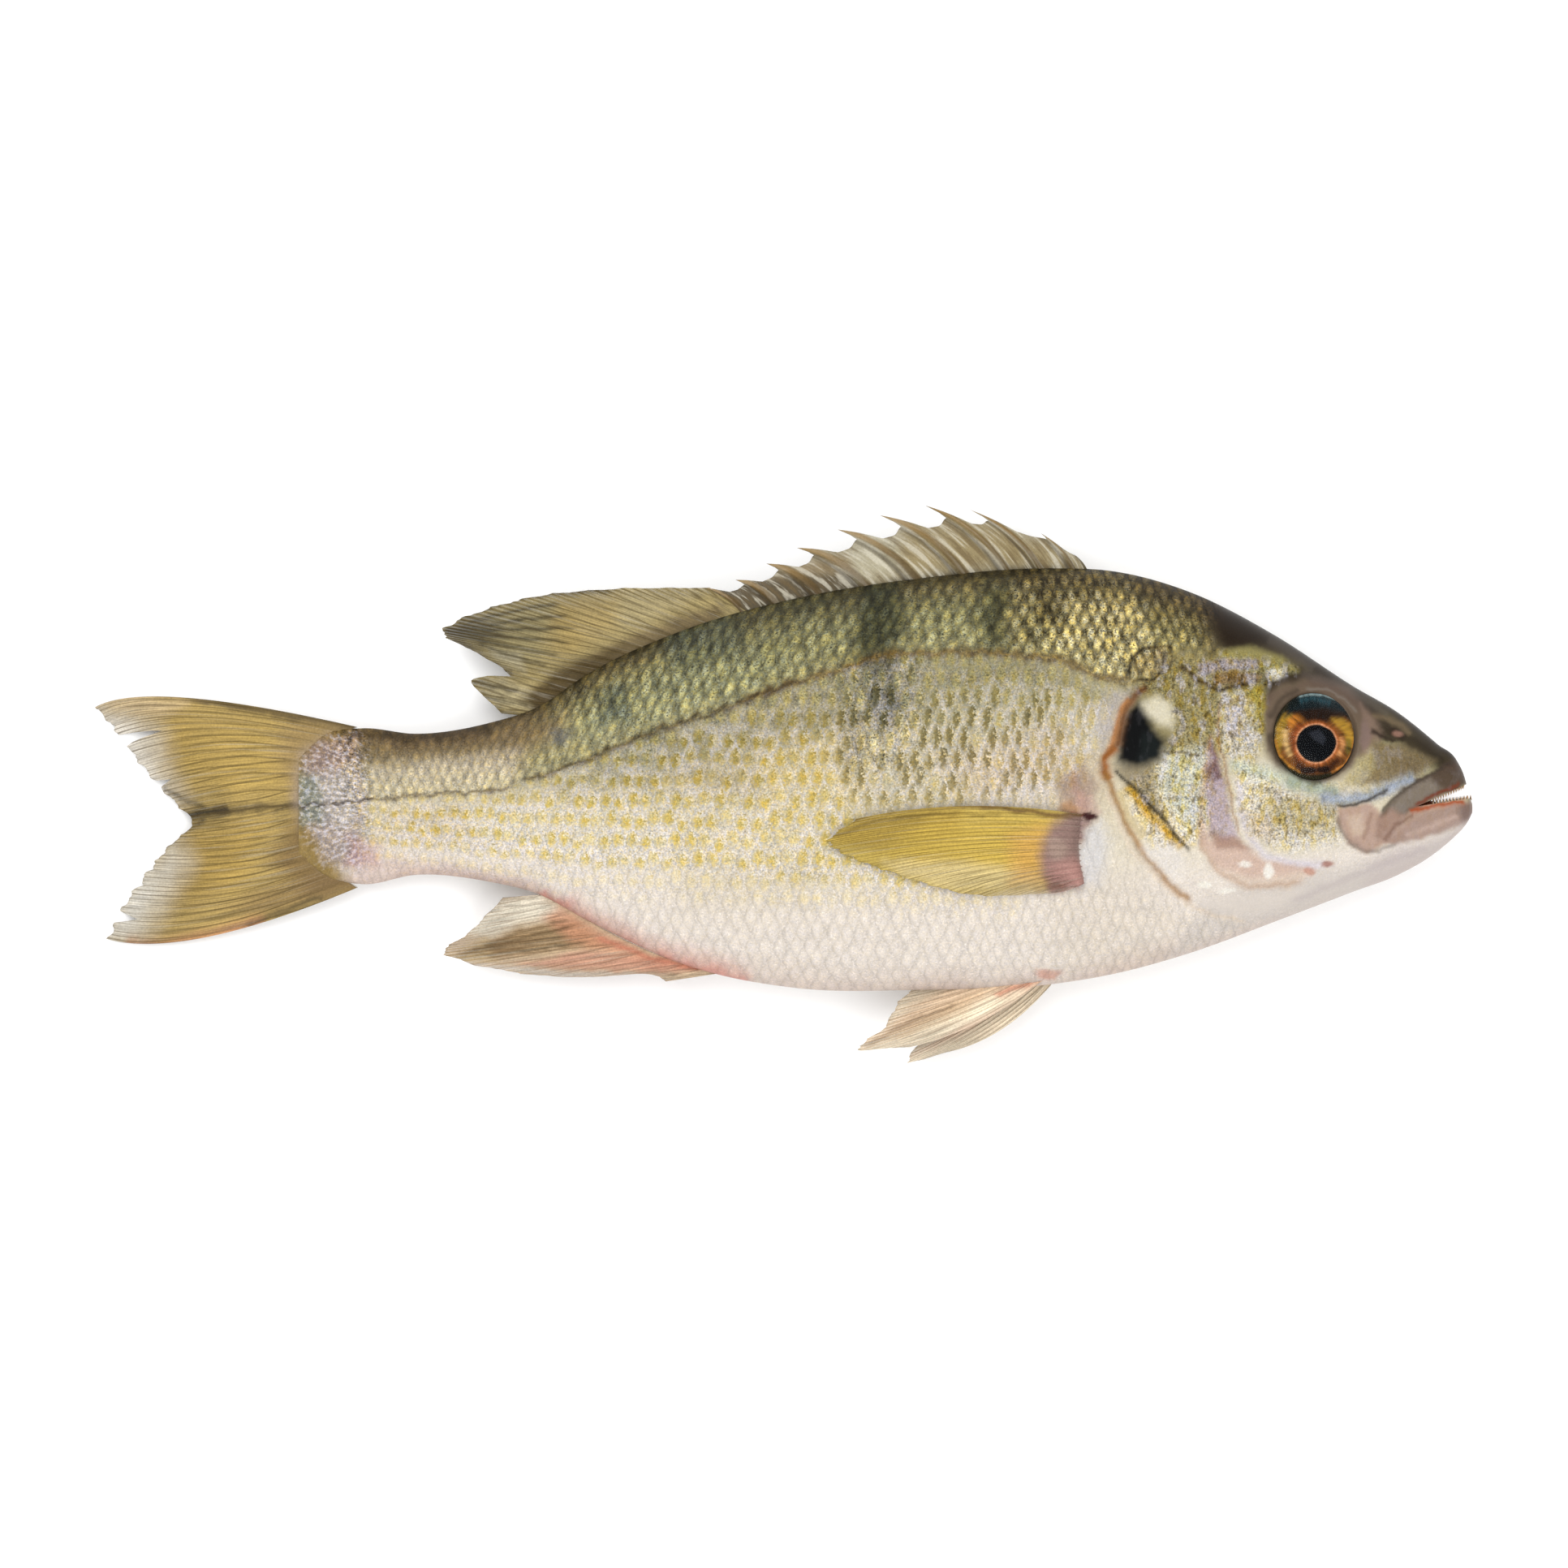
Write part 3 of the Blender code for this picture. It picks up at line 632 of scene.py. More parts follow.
def keep_colour(piece, name, values):
    """Stores a colour, or three numbers, at each vertex under a name that a material can read."""
    store = piece.data.color_attributes.new(name, "FLOAT_COLOR", "POINT")
    full = np.column_stack((values, np.ones(len(values)))).astype(np.float32)
    store.data.foreach_set("color", full.ravel())


def keep_place(piece, name, values):
    """Stores a place, such as the one in the grid of scales, at each vertex."""
    store = piece.data.attributes.new(name, "FLOAT_VECTOR", "POINT")
    full = np.zeros((len(values), 3), np.float32)
    full[:, : values.shape[1]] = values
    store.data.foreach_set("vector", full.ravel())


print("white paint is", tint("#ffffff").round(2), "to the renderer")

# %% [markdown]
# ## Colours of the skin
# The ground colour runs from a dark olive back over a beige-yellow flank to a white belly. It is worked out
# at each vertex from its height between back and belly, with a little noise so that it has no level edges.

# %% Ground colour from back to belly
GROUND = (
    (0.00, "#3f3826"),
    (0.04, "#5c523a"),
    (0.12, "#7d7554"),
    (0.22, "#9c9470"),
    (0.33, "#ada583"),
    (0.45, "#c6bb9e"),
    (0.58, "#dbd0b6"),
    (0.68, "#dfd5c1"),
    (0.80, "#e4dacf"),
    (0.92, "#e6dcd3"),
    (1.00, "#d3c0b5"),
)
GROUND_NOISE, GROUND_PATCH = 0.02, 7.0


def ground_colour(points):
    back, _, belly, _ = outline(points[:, 0])
    share = np.clip((back - points[:, 1]) / (back - belly), 0.0, 1.0)
    share = np.clip(share + GROUND_NOISE * cloud(points[:, 0], points[:, 1], GROUND_PATCH, 11), 0.0, 1.0)
    stops = np.array([stop for stop, _ in GROUND])
    colours = np.array([tint(colour) for _, colour in GROUND])
    return np.column_stack([np.interp(share, stops, colours[:, i]) for i in range(3)])


print(len(GROUND), "stops from back to belly")

# %% [markdown]
# ## Bars of the back
# Four dark bars cross the back. Wide soft areas are laid first, and the small dark ones over them.

# %% Marks of the back
BAR_MARKS = (
    area("#8f9478", 0.4, 60, 1230, 730, 1240, 800, 1060, 812, 900, 872, 720, 925, 690, 880, 830, 800,
        1000, 745),
    area("#8b9583", 0.2, 40, 700, 900, 820, 830, 960, 800, 940, 850, 800, 900),
    area("#b3a886", 0.6, 40, 1310, 735, 1400, 735, 1420, 800, 1390, 830, 1300, 800),
    area("#8d8668", 0.4, 30, 1240, 720, 1280, 725, 1280, 800, 1240, 795),
    area("#463a26", 0.6, 30, 1390, 690, 1480, 700, 1480, 745, 1400, 735),
    area("#7d6650", 0.6, 50, 430, 880, 600, 890, 700, 880, 690, 905, 640, 940, 430, 952),
    area("#a6966e", 0.5, 50, 820, 905, 1000, 855, 1070, 880, 1060, 960, 900, 985, 800, 960),
    area("#dccfb4", 0.4, 60, 820, 1000, 1010, 990, 1040, 1090, 830, 1090),
    area("#dccca2", 0.6, 36, 930, 930, 1050, 900, 1060, 990, 940, 995),
    area("#c8b79a", 0.55, 36, 450, 1000, 570, 990, 590, 1040, 450, 1046),
    area("#33362a", 0.85, 26, 1064, 716, 1108, 718, 1116, 770, 1102, 800, 1100, 820, 1060, 820, 1052, 790,
        1058, 750),
    area("#45452f", 0.72, 26, 1056, 800, 1104, 800, 1112, 880, 1094, 905, 1070, 880),
    area("#3f4233", 0.45, 20, 1040, 880, 1060, 885, 1054, 950, 1036, 940),
    area("#3a3b2a", 0.72, 22, 1212, 722, 1244, 722, 1240, 770, 1246, 800, 1216, 804, 1206, 770),
    area("#4a4230", 0.65, 18, 1278, 730, 1312, 734, 1304, 772, 1276, 768),
    area("#4b544c", 0.5, 30, 828, 760, 905, 742, 920, 770, 905, 805, 850, 830, 822, 812),
    area("#46504e", 0.6, 18, 742, 850, 772, 842, 778, 890, 738, 896),
    area("#3c3a29", 0.45, 22, 900, 760, 1060, 728, 1060, 745, 900, 785),
    spot("#4a5468", 0.5, 14, 690, 908, 13, 10),
    spot("#55533f", 0.6, 12, 802, 903, 15, 9),
    spot("#45462f", 0.5, 14, 1088, 873, 14, 20),
    line("#54503a", 0.5, 10, 720, 800, 760, 790, 860, 772, 912, 755, 1046, 730),
)
print(len(BAR_MARKS), "marks on the back")

# %% [markdown]
# ## Flank and shoulder
# Round the foot of the breast fin the skin is bare, in grey pink, with a dark red slit over it.

# %% Marks of the flank
FLANK_MARKS = (
    area("#cdb8a6", 0.5, 60, 1160, 940, 1340, 880, 1362, 960, 1345, 1000, 1200, 990),
    area("#8a8667", 0.42, 50, 660, 935, 900, 862, 1050, 812, 1300, 812, 1300, 850, 1060, 890, 900, 930,
        700, 975),
    line("#8a8567", 0.4, 44, 1300, 830, 1200, 824, 1100, 828, 1000, 860, 900, 896, 800, 930, 720, 957),
    area("#3f402d", 0.38, 24, 1060, 805, 1104, 805, 1108, 880, 1090, 905, 1072, 880),
    area("#cfc3ae", 0.35, 50, 840, 1062, 1000, 1070, 1000, 1130, 840, 1130),
    area("#e0d8d2", 0.6, 26, 1200, 985, 1262, 962, 1300, 965, 1290, 995, 1220, 995),
    area("#d9d2c8", 0.6, 24, 1310, 880, 1362, 866, 1366, 900, 1350, 926, 1316, 930),
    area("#9d8477", 0.75, 18, 1300, 965, 1335, 940, 1350, 960, 1350, 1000, 1318, 1010),
    area("#c2bac2", 0.5, 24, 1350, 870, 1372, 850, 1392, 850, 1376, 900, 1358, 925),
    spot("#b98b62", 0.8, 12, 1316, 996, 13, 10),
    area("#c7a99d", 0.6, 16, 1324, 975, 1344, 980, 1356, 1000, 1330, 1004),
    area("#cfcfd6", 0.6, 26, 1335, 1024, 1356, 1010, 1368, 1040, 1356, 1090, 1330, 1100, 1324, 1060),
    area("#937672", 0.95, 20, 1290, 1006, 1346, 1006, 1342, 1022, 1332, 1038, 1324, 1060, 1331, 1092,
        1280, 1098, 1270, 1050),
    area("#c08e84", 0.85, 16, 1282, 1058, 1318, 1054, 1330, 1092, 1284, 1098),
    spot("#b8a08f", 0.5, 12, 1302, 1046, 12, 12),
    line("#a04a2c", 0.85, 5, 1296, 1006, 1318, 1006, 1336, 1004),
    spot("#35080e", 0.98, 6, 1340, 1005, 11, 6),
    spot("#b8674a", 0.75, 10, 1290, 1200, 16, 6),
    line("#a8685a", 0.25, 12, 1322, 950, 1328, 975, 1336, 1000),
)
print(len(FLANK_MARKS), "marks on the flank")

# %% [markdown]
# ## Belly, lateral line and foot of the tail
# The belly's lower edge is flushed with pink, and the foot of the tail is frosted in lilac and blue grey.

# %% Marks of the belly and tail
REAR_MARKS = (
    area("#dfd5cb", 0.5, 60, 700, 1100, 900, 1130, 1300, 1110, 1420, 1130, 1330, 1200, 920, 1210),
    area("#d4c8b9", 0.42, 50, 1290, 1100, 1400, 1070, 1470, 1140, 1420, 1190, 1300, 1190),
    line("#c8786a", 0.75, 18, 930, 1216, 868, 1196, 801, 1178, 734, 1147, 689, 1116, 662, 1100),
    line("#d6a294", 0.45, 34, 930, 1212, 868, 1188, 801, 1170, 734, 1138, 689, 1108),
    area("#c4a59c", 0.5, 30, 440, 1050, 560, 1066, 660, 1086, 660, 1104, 520, 1086, 430, 1084),
    line("#66522f", 0.8, 11, *LATERAL_LINE[:7]),
    line("#4a3c26", 0.8, 9, *LATERAL_LINE[5:10]),
    line("#54462f", 0.8, 6, *LATERAL_LINE[9:]),
    line("#3a3020", 0.75, 22, 610, 893, 560, 902, 500, 908, 440, 900, 380, 893),
    area("#98804f", 1.0, 34, 330, 850, 428, 860, 420, 985, 426, 1120, 330, 1130),
    area("#6f5b3a", 0.7, 20, 340, 878, 470, 884, 466, 904, 340, 900),
    area("#b9aaa3", 0.95, 20, 436, 914, 450, 960, 450, 1030, 438, 1070, 404, 1064, 382, 1024, 372, 985,
        380, 936, 402, 914),
    spot("#c6beb8", 0.7, 20, 418, 985, 24, 34),
    area("#9c8378", 0.7, 18, 382, 912, 440, 906, 444, 934, 410, 948, 378, 950),
    area("#8c9386", 0.75, 18, 364, 955, 394, 960, 398, 1014, 372, 1018),
    area("#cbbfb0", 0.55, 26, 450, 944, 640, 925, 640, 960, 560, 972, 450, 980),
    area("#bd9398", 0.55, 20, 430, 1030, 470, 1040, 464, 1066, 426, 1068),
    line("#4f4238", 0.8, 5, 462, 984, 436, 988, 366, 992),
)
TRUNK_MARKS = BAR_MARKS + FLANK_MARKS + REAR_MARKS
print(len(TRUNK_MARKS), "marks on the trunk")

# %% [markdown]
# ## Head
# The large plates of the gill cover and cheek come first, and the smooth brown top lies over them. Two
# pale lines along the top of the head are a painted sheen.

# %% Marks of the cheek and the top of the head
HEAD_GROUND_MARKS = (
    # plates of the gill cover and the cheek
    area("#8b7f55", 0.85, 24, 1400, 838, 1445, 800, 1500, 800, 1540, 835, 1505, 860, 1498, 930, 1440, 930,
        1400, 880),
    area("#bfbfae", 0.85, 22, 1436, 925, 1492, 920, 1486, 1012, 1462, 1024, 1425, 970),
    area("#8a7d62", 0.85, 18, 1372, 945, 1420, 932, 1426, 975, 1436, 1012, 1416, 1000),
    area("#d8d0c0", 0.9, 26, 1510, 900, 1556, 935, 1600, 970, 1660, 985, 1650, 1040, 1600, 1056, 1556, 1050,
        1530, 1000),
    area("#bba78e", 0.6, 20, 1532, 1000, 1566, 1004, 1574, 1036, 1544, 1034),
    area("#ab9d74", 0.75, 26, 1560, 972, 1650, 992, 1645, 1024, 1600, 1032, 1560, 1012),
    # smooth brown top of the head, muzzle and skin round the eye
    area("#45392a", 0.75, 34, 1440, 700, 1470, 735, 1480, 770, 1486, 802, 1530, 806, 1530, 720),
    area("#2f2418", 0.95, 22, 1452, 690, 1486, 728, 1500, 760, 1505, 795, 1560, 800, 1600, 815, 1620, 836,
        1660, 850, 1700, 872, 1740, 905, 1800, 950, 1830, 900, 1700, 780, 1560, 690),
    area("#23180c", 0.85, 20, 1486, 740, 1530, 755, 1566, 790, 1510, 800, 1496, 775),
    area("#291e14", 0.9, 16, 1716, 888, 1760, 913, 1800, 946, 1775, 950, 1735, 925, 1706, 905),
    area("#32271e", 0.92, 14, 1558, 830, 1600, 822, 1650, 838, 1700, 872, 1722, 898, 1700, 912, 1686, 884,
        1650, 852, 1610, 840, 1575, 848, 1560, 870),
    area("#665347", 0.88, 14, 1554, 862, 1575, 845, 1620, 834, 1664, 848, 1690, 880, 1696, 905, 1680, 935,
        1650, 958, 1620, 970, 1580, 956, 1560, 925),
    area("#8c7465", 0.7, 12, 1676, 868, 1694, 884, 1703, 905, 1692, 932, 1678, 930, 1686, 900),
    # painted sheen: two pale lines where the light shines on the wet top of the head
    line("#7f756c", 0.18, 12, 1600, 828, 1640, 840, 1680, 860, 1712, 882),
    line("#60574e", 0.35, 12, 1560, 786, 1600, 812, 1620, 824),
    area("#79694d", 0.9, 14, 1690, 912, 1730, 918, 1768, 938, 1748, 956, 1705, 966, 1672, 966, 1684, 940),
    area("#b3a67c", 0.75, 12, 1656, 964, 1672, 935, 1690, 920, 1696, 945, 1676, 968),
    area("#6f5f45", 0.6, 12, 1716, 932, 1748, 938, 1750, 950, 1716, 950),
    line("#2c2018", 0.85, 7, 1688, 900, 1702, 906, 1718, 914),
    spot("#2c2018", 0.6, 8, 1721, 905, 12, 9),
    spot("#a07868", 0.75, 6, 1722, 904, 6, 4),
    line("#7d6a50", 0.6, 8, 1690, 880, 1720, 890, 1740, 905),
)
print(len(HEAD_GROUND_MARKS), "marks on the head's plates and top")

# %% [markdown]
# ## Stripe, lips and jaws
# The lips are a few overlapping areas, with thin dark lines where one plate of the jaw slides under another.
# A pale patch on the jaw plate is painted highlight, and a dark line between the lips is painted shadow.

# %% Marks of the stripe, lips and jaws
MOUTH_MARKS = (
    # shining stripe below the eye
    spot("#8c7470", 0.5, 12, 1682, 906, 6, 18),
    line("#3c3428", 0.7, 8, 1563, 900, 1571, 930, 1588, 953, 1608, 964, 1630, 966),
    line("#3a3128", 0.6, 8, 1564, 886, 1580, 862, 1600, 848),
    # painted highlight along the top of the eye's rim
    line("#8d857c", 0.4, 4, 1606, 849, 1634, 848, 1658, 862, 1672, 880),
    line("#bdc2ad", 0.8, 19, 1512, 938, 1545, 949, 1577, 958, 1600, 966),
    line("#9ca795", 0.85, 17, 1585, 962, 1620, 973, 1650, 976),
    line("#939dae", 0.9, 16, 1622, 982, 1655, 987, 1686, 981, 1722, 968, 1746, 956),
    line("#c6cedc", 0.35, 6, 1640, 986, 1690, 982, 1724, 968),
    # lips, jaw plate and mouth
    area("#503f34", 0.95, 9, 1793, 936, 1806, 944, 1809, 968, 1790, 976, 1764, 986, 1738, 1002, 1716, 1024,
        1704, 1038, 1690, 1030, 1697, 1006, 1716, 984, 1745, 961),
    area("#857a6e", 0.85, 12, 1762, 958, 1776, 972, 1740, 996, 1716, 1010, 1712, 992, 1735, 970),
    area("#a58676", 0.88, 12, 1716, 996, 1730, 1004, 1708, 1036, 1692, 1030, 1698, 1008),
    area("#b39585", 0.92, 10, 1648, 996, 1690, 989, 1702, 1000, 1694, 1030, 1716, 1037, 1684, 1051,
        1660, 1039, 1650, 1014),
    # painted highlight on the jaw plate
    area("#ceb9a6", 0.65, 10, 1660, 1008, 1678, 1004, 1683, 1028, 1668, 1030),
    line("#8a6a5c", 0.5, 6, 1690, 1000, 1686, 1020, 1680, 1034),
    area("#a2877a", 0.94, 9, 1812, 988, 1790, 990, 1755, 998, 1732, 1014, 1706, 1037, 1722, 1041, 1766, 1030,
        1800, 1018, 1818, 1004),
    spot("#7c6760", 0.85, 12, 1809, 1000, 13, 13),
    area("#a88c7d", 0.85, 8, 1700, 1036, 1716, 1010, 1740, 999, 1764, 994, 1744, 1010, 1716, 1038),
    # painted shadow in the crease between the upper and the lower lip
    line("#7d5e50", 0.65, 5, 1704, 1037, 1718, 1017, 1742, 1004),
    line("#c9b0a4", 0.6, 8, 1730, 1030, 1766, 1018, 1796, 1006),
    line("#a34a20", 0.92, 7, 1736, 1001, 1748, 996, 1775, 991, 1806, 987),
    line("#7a3a24", 0.8, 5, 1742, 991, 1775, 977, 1799, 965),
    line("#2e2620", 0.85, 5, 1645, 994, 1668, 992, 1690, 984, 1712, 972),
    line("#5c4c42", 0.55, 6, 1649, 1004, 1653, 1024, 1664, 1040, 1682, 1048, 1700, 1048, 1722, 1039),
    line("#3f352d", 0.75, 5, 1702, 1000, 1716, 984, 1745, 963, 1795, 937),
)
print(len(MOUTH_MARKS), "marks on the stripe and the mouth")

# %% [markdown]
# ## Throat and folds
# A violet slit runs down behind the cheek and widens into a pink fold over the pale throat.

# %% Marks of the throat, folds and bony bands
THROAT_MARKS = (
    # chin, throat and the folds under the cheek
    area("#c9beb9", 0.85, 20, 1722, 1043, 1766, 1033, 1816, 1010, 1770, 1056, 1700, 1092, 1650, 1104,
        1680, 1062),
    area("#d2c9c1", 0.9, 30, 1560, 1075, 1640, 1066, 1690, 1062, 1680, 1100, 1600, 1130, 1520, 1150,
        1440, 1180, 1480, 1120),
    line("#b5a9aa", 0.35, 10, 1590, 1112, 1640, 1090, 1700, 1066, 1760, 1044),
    area("#dad0c6", 0.85, 18, 1462, 1086, 1520, 1100, 1600, 1098, 1580, 1118, 1530, 1130, 1490, 1118),
    area("#785a62", 0.92, 8, 1491, 906, 1499, 925, 1510, 968, 1485, 970, 1486, 945),
    area("#b1a0a8", 0.92, 8, 1485, 962, 1508, 960, 1518, 1006, 1527, 1032, 1508, 1040, 1490, 1030),
    area("#cdb0a0", 0.9, 12, 1482, 1010, 1492, 1034, 1526, 1034, 1556, 1058, 1600, 1067, 1622, 1070,
        1600, 1086, 1540, 1088, 1500, 1072, 1479, 1040),
    area("#96705f", 0.65, 10, 1491, 1028, 1526, 1032, 1542, 1046, 1500, 1046),
    area("#decdbc", 0.75, 14, 1500, 1068, 1540, 1082, 1620, 1074, 1590, 1094, 1530, 1094),
    line("#b08a6c", 0.5, 8, 1494, 906, 1484, 950, 1479, 1010, 1481, 1045, 1500, 1074, 1540, 1094,
        1610, 1086),
    line("#8f5f3c", 0.6, 4, 1503, 860, 1500, 905, 1508, 940, 1518, 990, 1529, 1030),
    line("#d6d0e2", 0.5, 9, 1524, 950, 1528, 994, 1539, 1032, 1557, 1052, 1589, 1063, 1635, 1066),
    # bony bands and plates behind the eye
    area("#c0b8aa", 0.8, 14, 1508, 855, 1540, 848, 1546, 900, 1545, 940, 1512, 930, 1504, 880),
    area("#aaa2b2", 0.45, 10, 1510, 862, 1530, 858, 1532, 905, 1512, 910),
    area("#9c8b36", 0.85, 8, 1536, 842, 1556, 847, 1559, 872, 1554, 905, 1546, 900, 1547, 870, 1532, 850),
    area("#9b9158", 0.8, 12, 1500, 803, 1540, 797, 1580, 810, 1598, 828, 1560, 828, 1510, 822),
    area("#9b9096", 0.8, 7, 1474, 818, 1500, 812, 1550, 812, 1550, 824, 1500, 828, 1476, 832),
    area("#7f6748", 0.88, 7, 1494, 832, 1520, 826, 1554, 831, 1552, 840, 1520, 844, 1496, 844),
    line("#3f2e1e", 0.85, 6, 1556, 838, 1504, 850, 1478, 839, 1451, 819),
    spot("#d0cbbf", 0.85, 7, 1572, 831, 11, 8),
    area("#8d7f5e", 0.85, 8, 1396, 832, 1396, 815, 1412, 802, 1438, 798, 1441, 818, 1424, 834),
    area("#a99d84", 0.7, 6, 1424, 805, 1440, 802, 1438, 820, 1426, 828),
    line("#35291b", 0.9, 5, 1391, 836, 1393, 814, 1410, 799, 1424, 798, 1434, 812, 1432, 828, 1420, 838,
        1394, 838),
    line("#35291b", 0.75, 4, 1424, 798, 1442, 796, 1446, 812, 1438, 828),
)
print(len(THROAT_MARKS), "marks on the throat, folds and bands")

# %% [markdown]
# ## Gill cover's rim
# A black blotch with a cream patch sits inside the orange brown rim, and a yellow bar runs below it.
# The white spots on the throat are painted highlights.

# %% Marks of the gill cover's rim
RIM_MARKS = (
    # black blotch, rim of the gill cover and yellow bar
    area("#040506", 1.0, 18, 1386, 878, 1402, 862, 1416, 874, 1422, 898, 1438, 912, 1430, 936, 1400, 946,
        1376, 940, 1377, 905),
    area("#2c3836", 0.18, 12, 1408, 902, 1424, 908, 1440, 925, 1420, 944, 1400, 946),
    area("#dad2ba", 0.92, 16, 1406, 868, 1424, 857, 1441, 862, 1448, 880, 1445, 897, 1428, 891, 1414, 881),
    line("#70482a", 0.92, 11, 1414, 845, 1397, 857, 1386, 876, 1380, 900, 1376, 922),
    line("#b57c4a", 0.9, 8, 1392, 858, 1378, 882, 1373, 910, 1361, 938),
    line("#995c28", 0.96, 12, 1376, 918, 1361, 936, 1360, 950, 1368, 962),
    line("#a5763c", 0.8, 9, 1360, 946, 1374, 985, 1390, 1020, 1411, 1054, 1440, 1090, 1470, 1112),
    line("#decbb6", 0.55, 6, 1362, 968, 1376, 1008, 1394, 1048, 1430, 1086, 1464, 1114, 1495, 1129,
        1540, 1136),
    line("#5c4d30", 0.75, 4, 1430, 925, 1458, 928, 1480, 932),
    area("#e0d9d2", 0.75, 16, 1408, 1046, 1438, 1032, 1460, 1056, 1454, 1084, 1430, 1074),
    line("#c49c2a", 0.92, 12, 1387, 966, 1405, 989, 1422, 1010, 1440, 1028, 1460, 1043),
    line("#221d14", 0.92, 5, 1371, 947, 1400, 973, 1432, 1009, 1467, 1051),
    line("#c6b078", 0.6, 11, 1378, 972, 1392, 1008, 1410, 1034),
    spot("#9c5a48", 0.75, 5, 1636, 1065, 6, 4),
    spot("#b87860", 0.6, 5, 1613, 1073, 7, 5),
    # painted highlights: white glints of light on the wet throat
    spot("#f2efe6", 0.85, 5, 1563, 1073, 6, 10),
    spot("#f2efe6", 0.75, 5, 1534, 1064, 8, 4),
    spot("#f4f0e4", 0.75, 5, 1484, 1091, 8, 4),
    spot("#f4f0e4", 0.65, 5, 1512, 1098, 12, 3),
)
HEAD_MARKS = HEAD_GROUND_MARKS + MOUTH_MARKS + THROAT_MARKS + RIM_MARKS
TRUNK_WOBBLE, HEAD_WOBBLE = 3.5, 1.6  # pixels


def keep_skin_paint(piece):
    points = points_of(piece)
    px, py = seen_at(points)
    paint = lay_marks(TRUNK_MARKS, px, py, ground_colour(points), TRUNK_WOBBLE)
    paint = lay_marks(HEAD_MARKS, px, py, paint, HEAD_WOBBLE)
    keep_colour(piece, "paint", np.clip(paint, 0.0, 1.0))


for piece in skins.values():
    keep_skin_paint(piece)
print(len(TRUNK_MARKS) + len(HEAD_MARKS), "marks on the skin")

# %% [markdown]
# ## Where the pattern of scales is strong
# Three numbers at each vertex steer the pattern: how dark the net between the scales is, how yellow the
# dashes are, and how brown the dashes are. They are laid with the same brushes as the paint.

# %% Strength of net and dashes
PATTERN_MARKS = (
    # net, yellow dashes, brown dashes
    area((0.70, 0.25, 0.0), 1.0, 50, 1600, 600, 1500, 860, 1403, 839, 1300, 810, 1100, 805, 900, 870,
        640, 965, 436, 988, 400, 860, 700, 700),
    area((1.0, 0.05, 0.0), 1.0, 40, 1250, 690, 1500, 690, 1500, 770, 1460, 800, 1400, 835, 1300, 806,
        1250, 790),
    area((0.32, 0.30, 0.0), 1.0, 50, 440, 870, 660, 880, 760, 900, 640, 960, 440, 984),
    area((0.12, 0.55, 0.30), 1.0, 40, 1372, 850, 1300, 822, 1100, 817, 900, 882, 900, 960, 1100, 1000,
        1340, 960),
    area((0.50, 0.40, 0.05), 0.9, 50, 640, 945, 760, 905, 900, 862, 1040, 812, 1300, 816, 1310, 850,
        1060, 880, 900, 915, 720, 968),
    area((0.10, 0.45, 0.95), 0.9, 60, 1300, 850, 1120, 850, 1030, 870, 960, 930, 1000, 990, 1290, 985),
    area((0.60, 0.1, 1.0), 1.0, 30, 1040, 815, 1130, 812, 1130, 900, 1100, 950, 1040, 940),
    area((0.08, 0.95, 0.10), 1.0, 40, 1010, 880, 880, 895, 640, 975, 440, 1000, 460, 1040, 700, 1070,
        1050, 1090, 1200, 1110, 1050, 1000),
    area((0.10, 0.35, 0.0), 1.0, 30, 450, 1040, 700, 1072, 1000, 1096, 1250, 1106, 1250, 1124, 1000, 1118,
        700, 1096, 450, 1062),
    area((0.0, 0.0, 0.0), 1.0, 24, *HEAD_SKIN),
    area((0.85, 0.05, 0.0), 1.0, 26, 1400, 690, 1470, 715, 1498, 755, 1494, 800, 1440, 806, 1400, 800),
    area((0.0, 0.0, 0.0), 1.0, 30, 1350, 960, 1320, 1090, 1440, 1110, 1400, 1040, 1370, 980),
)
print(len(PATTERN_MARKS), "marks steer the pattern")

# %% [markdown]
# ## Mottled, glossy and streaked skin
# Three more numbers say where the skin is mottled, glossy or streaked, and three where it lies in the rows:
# above the lateral line, among the tall dashes, and on the scaled trunk.

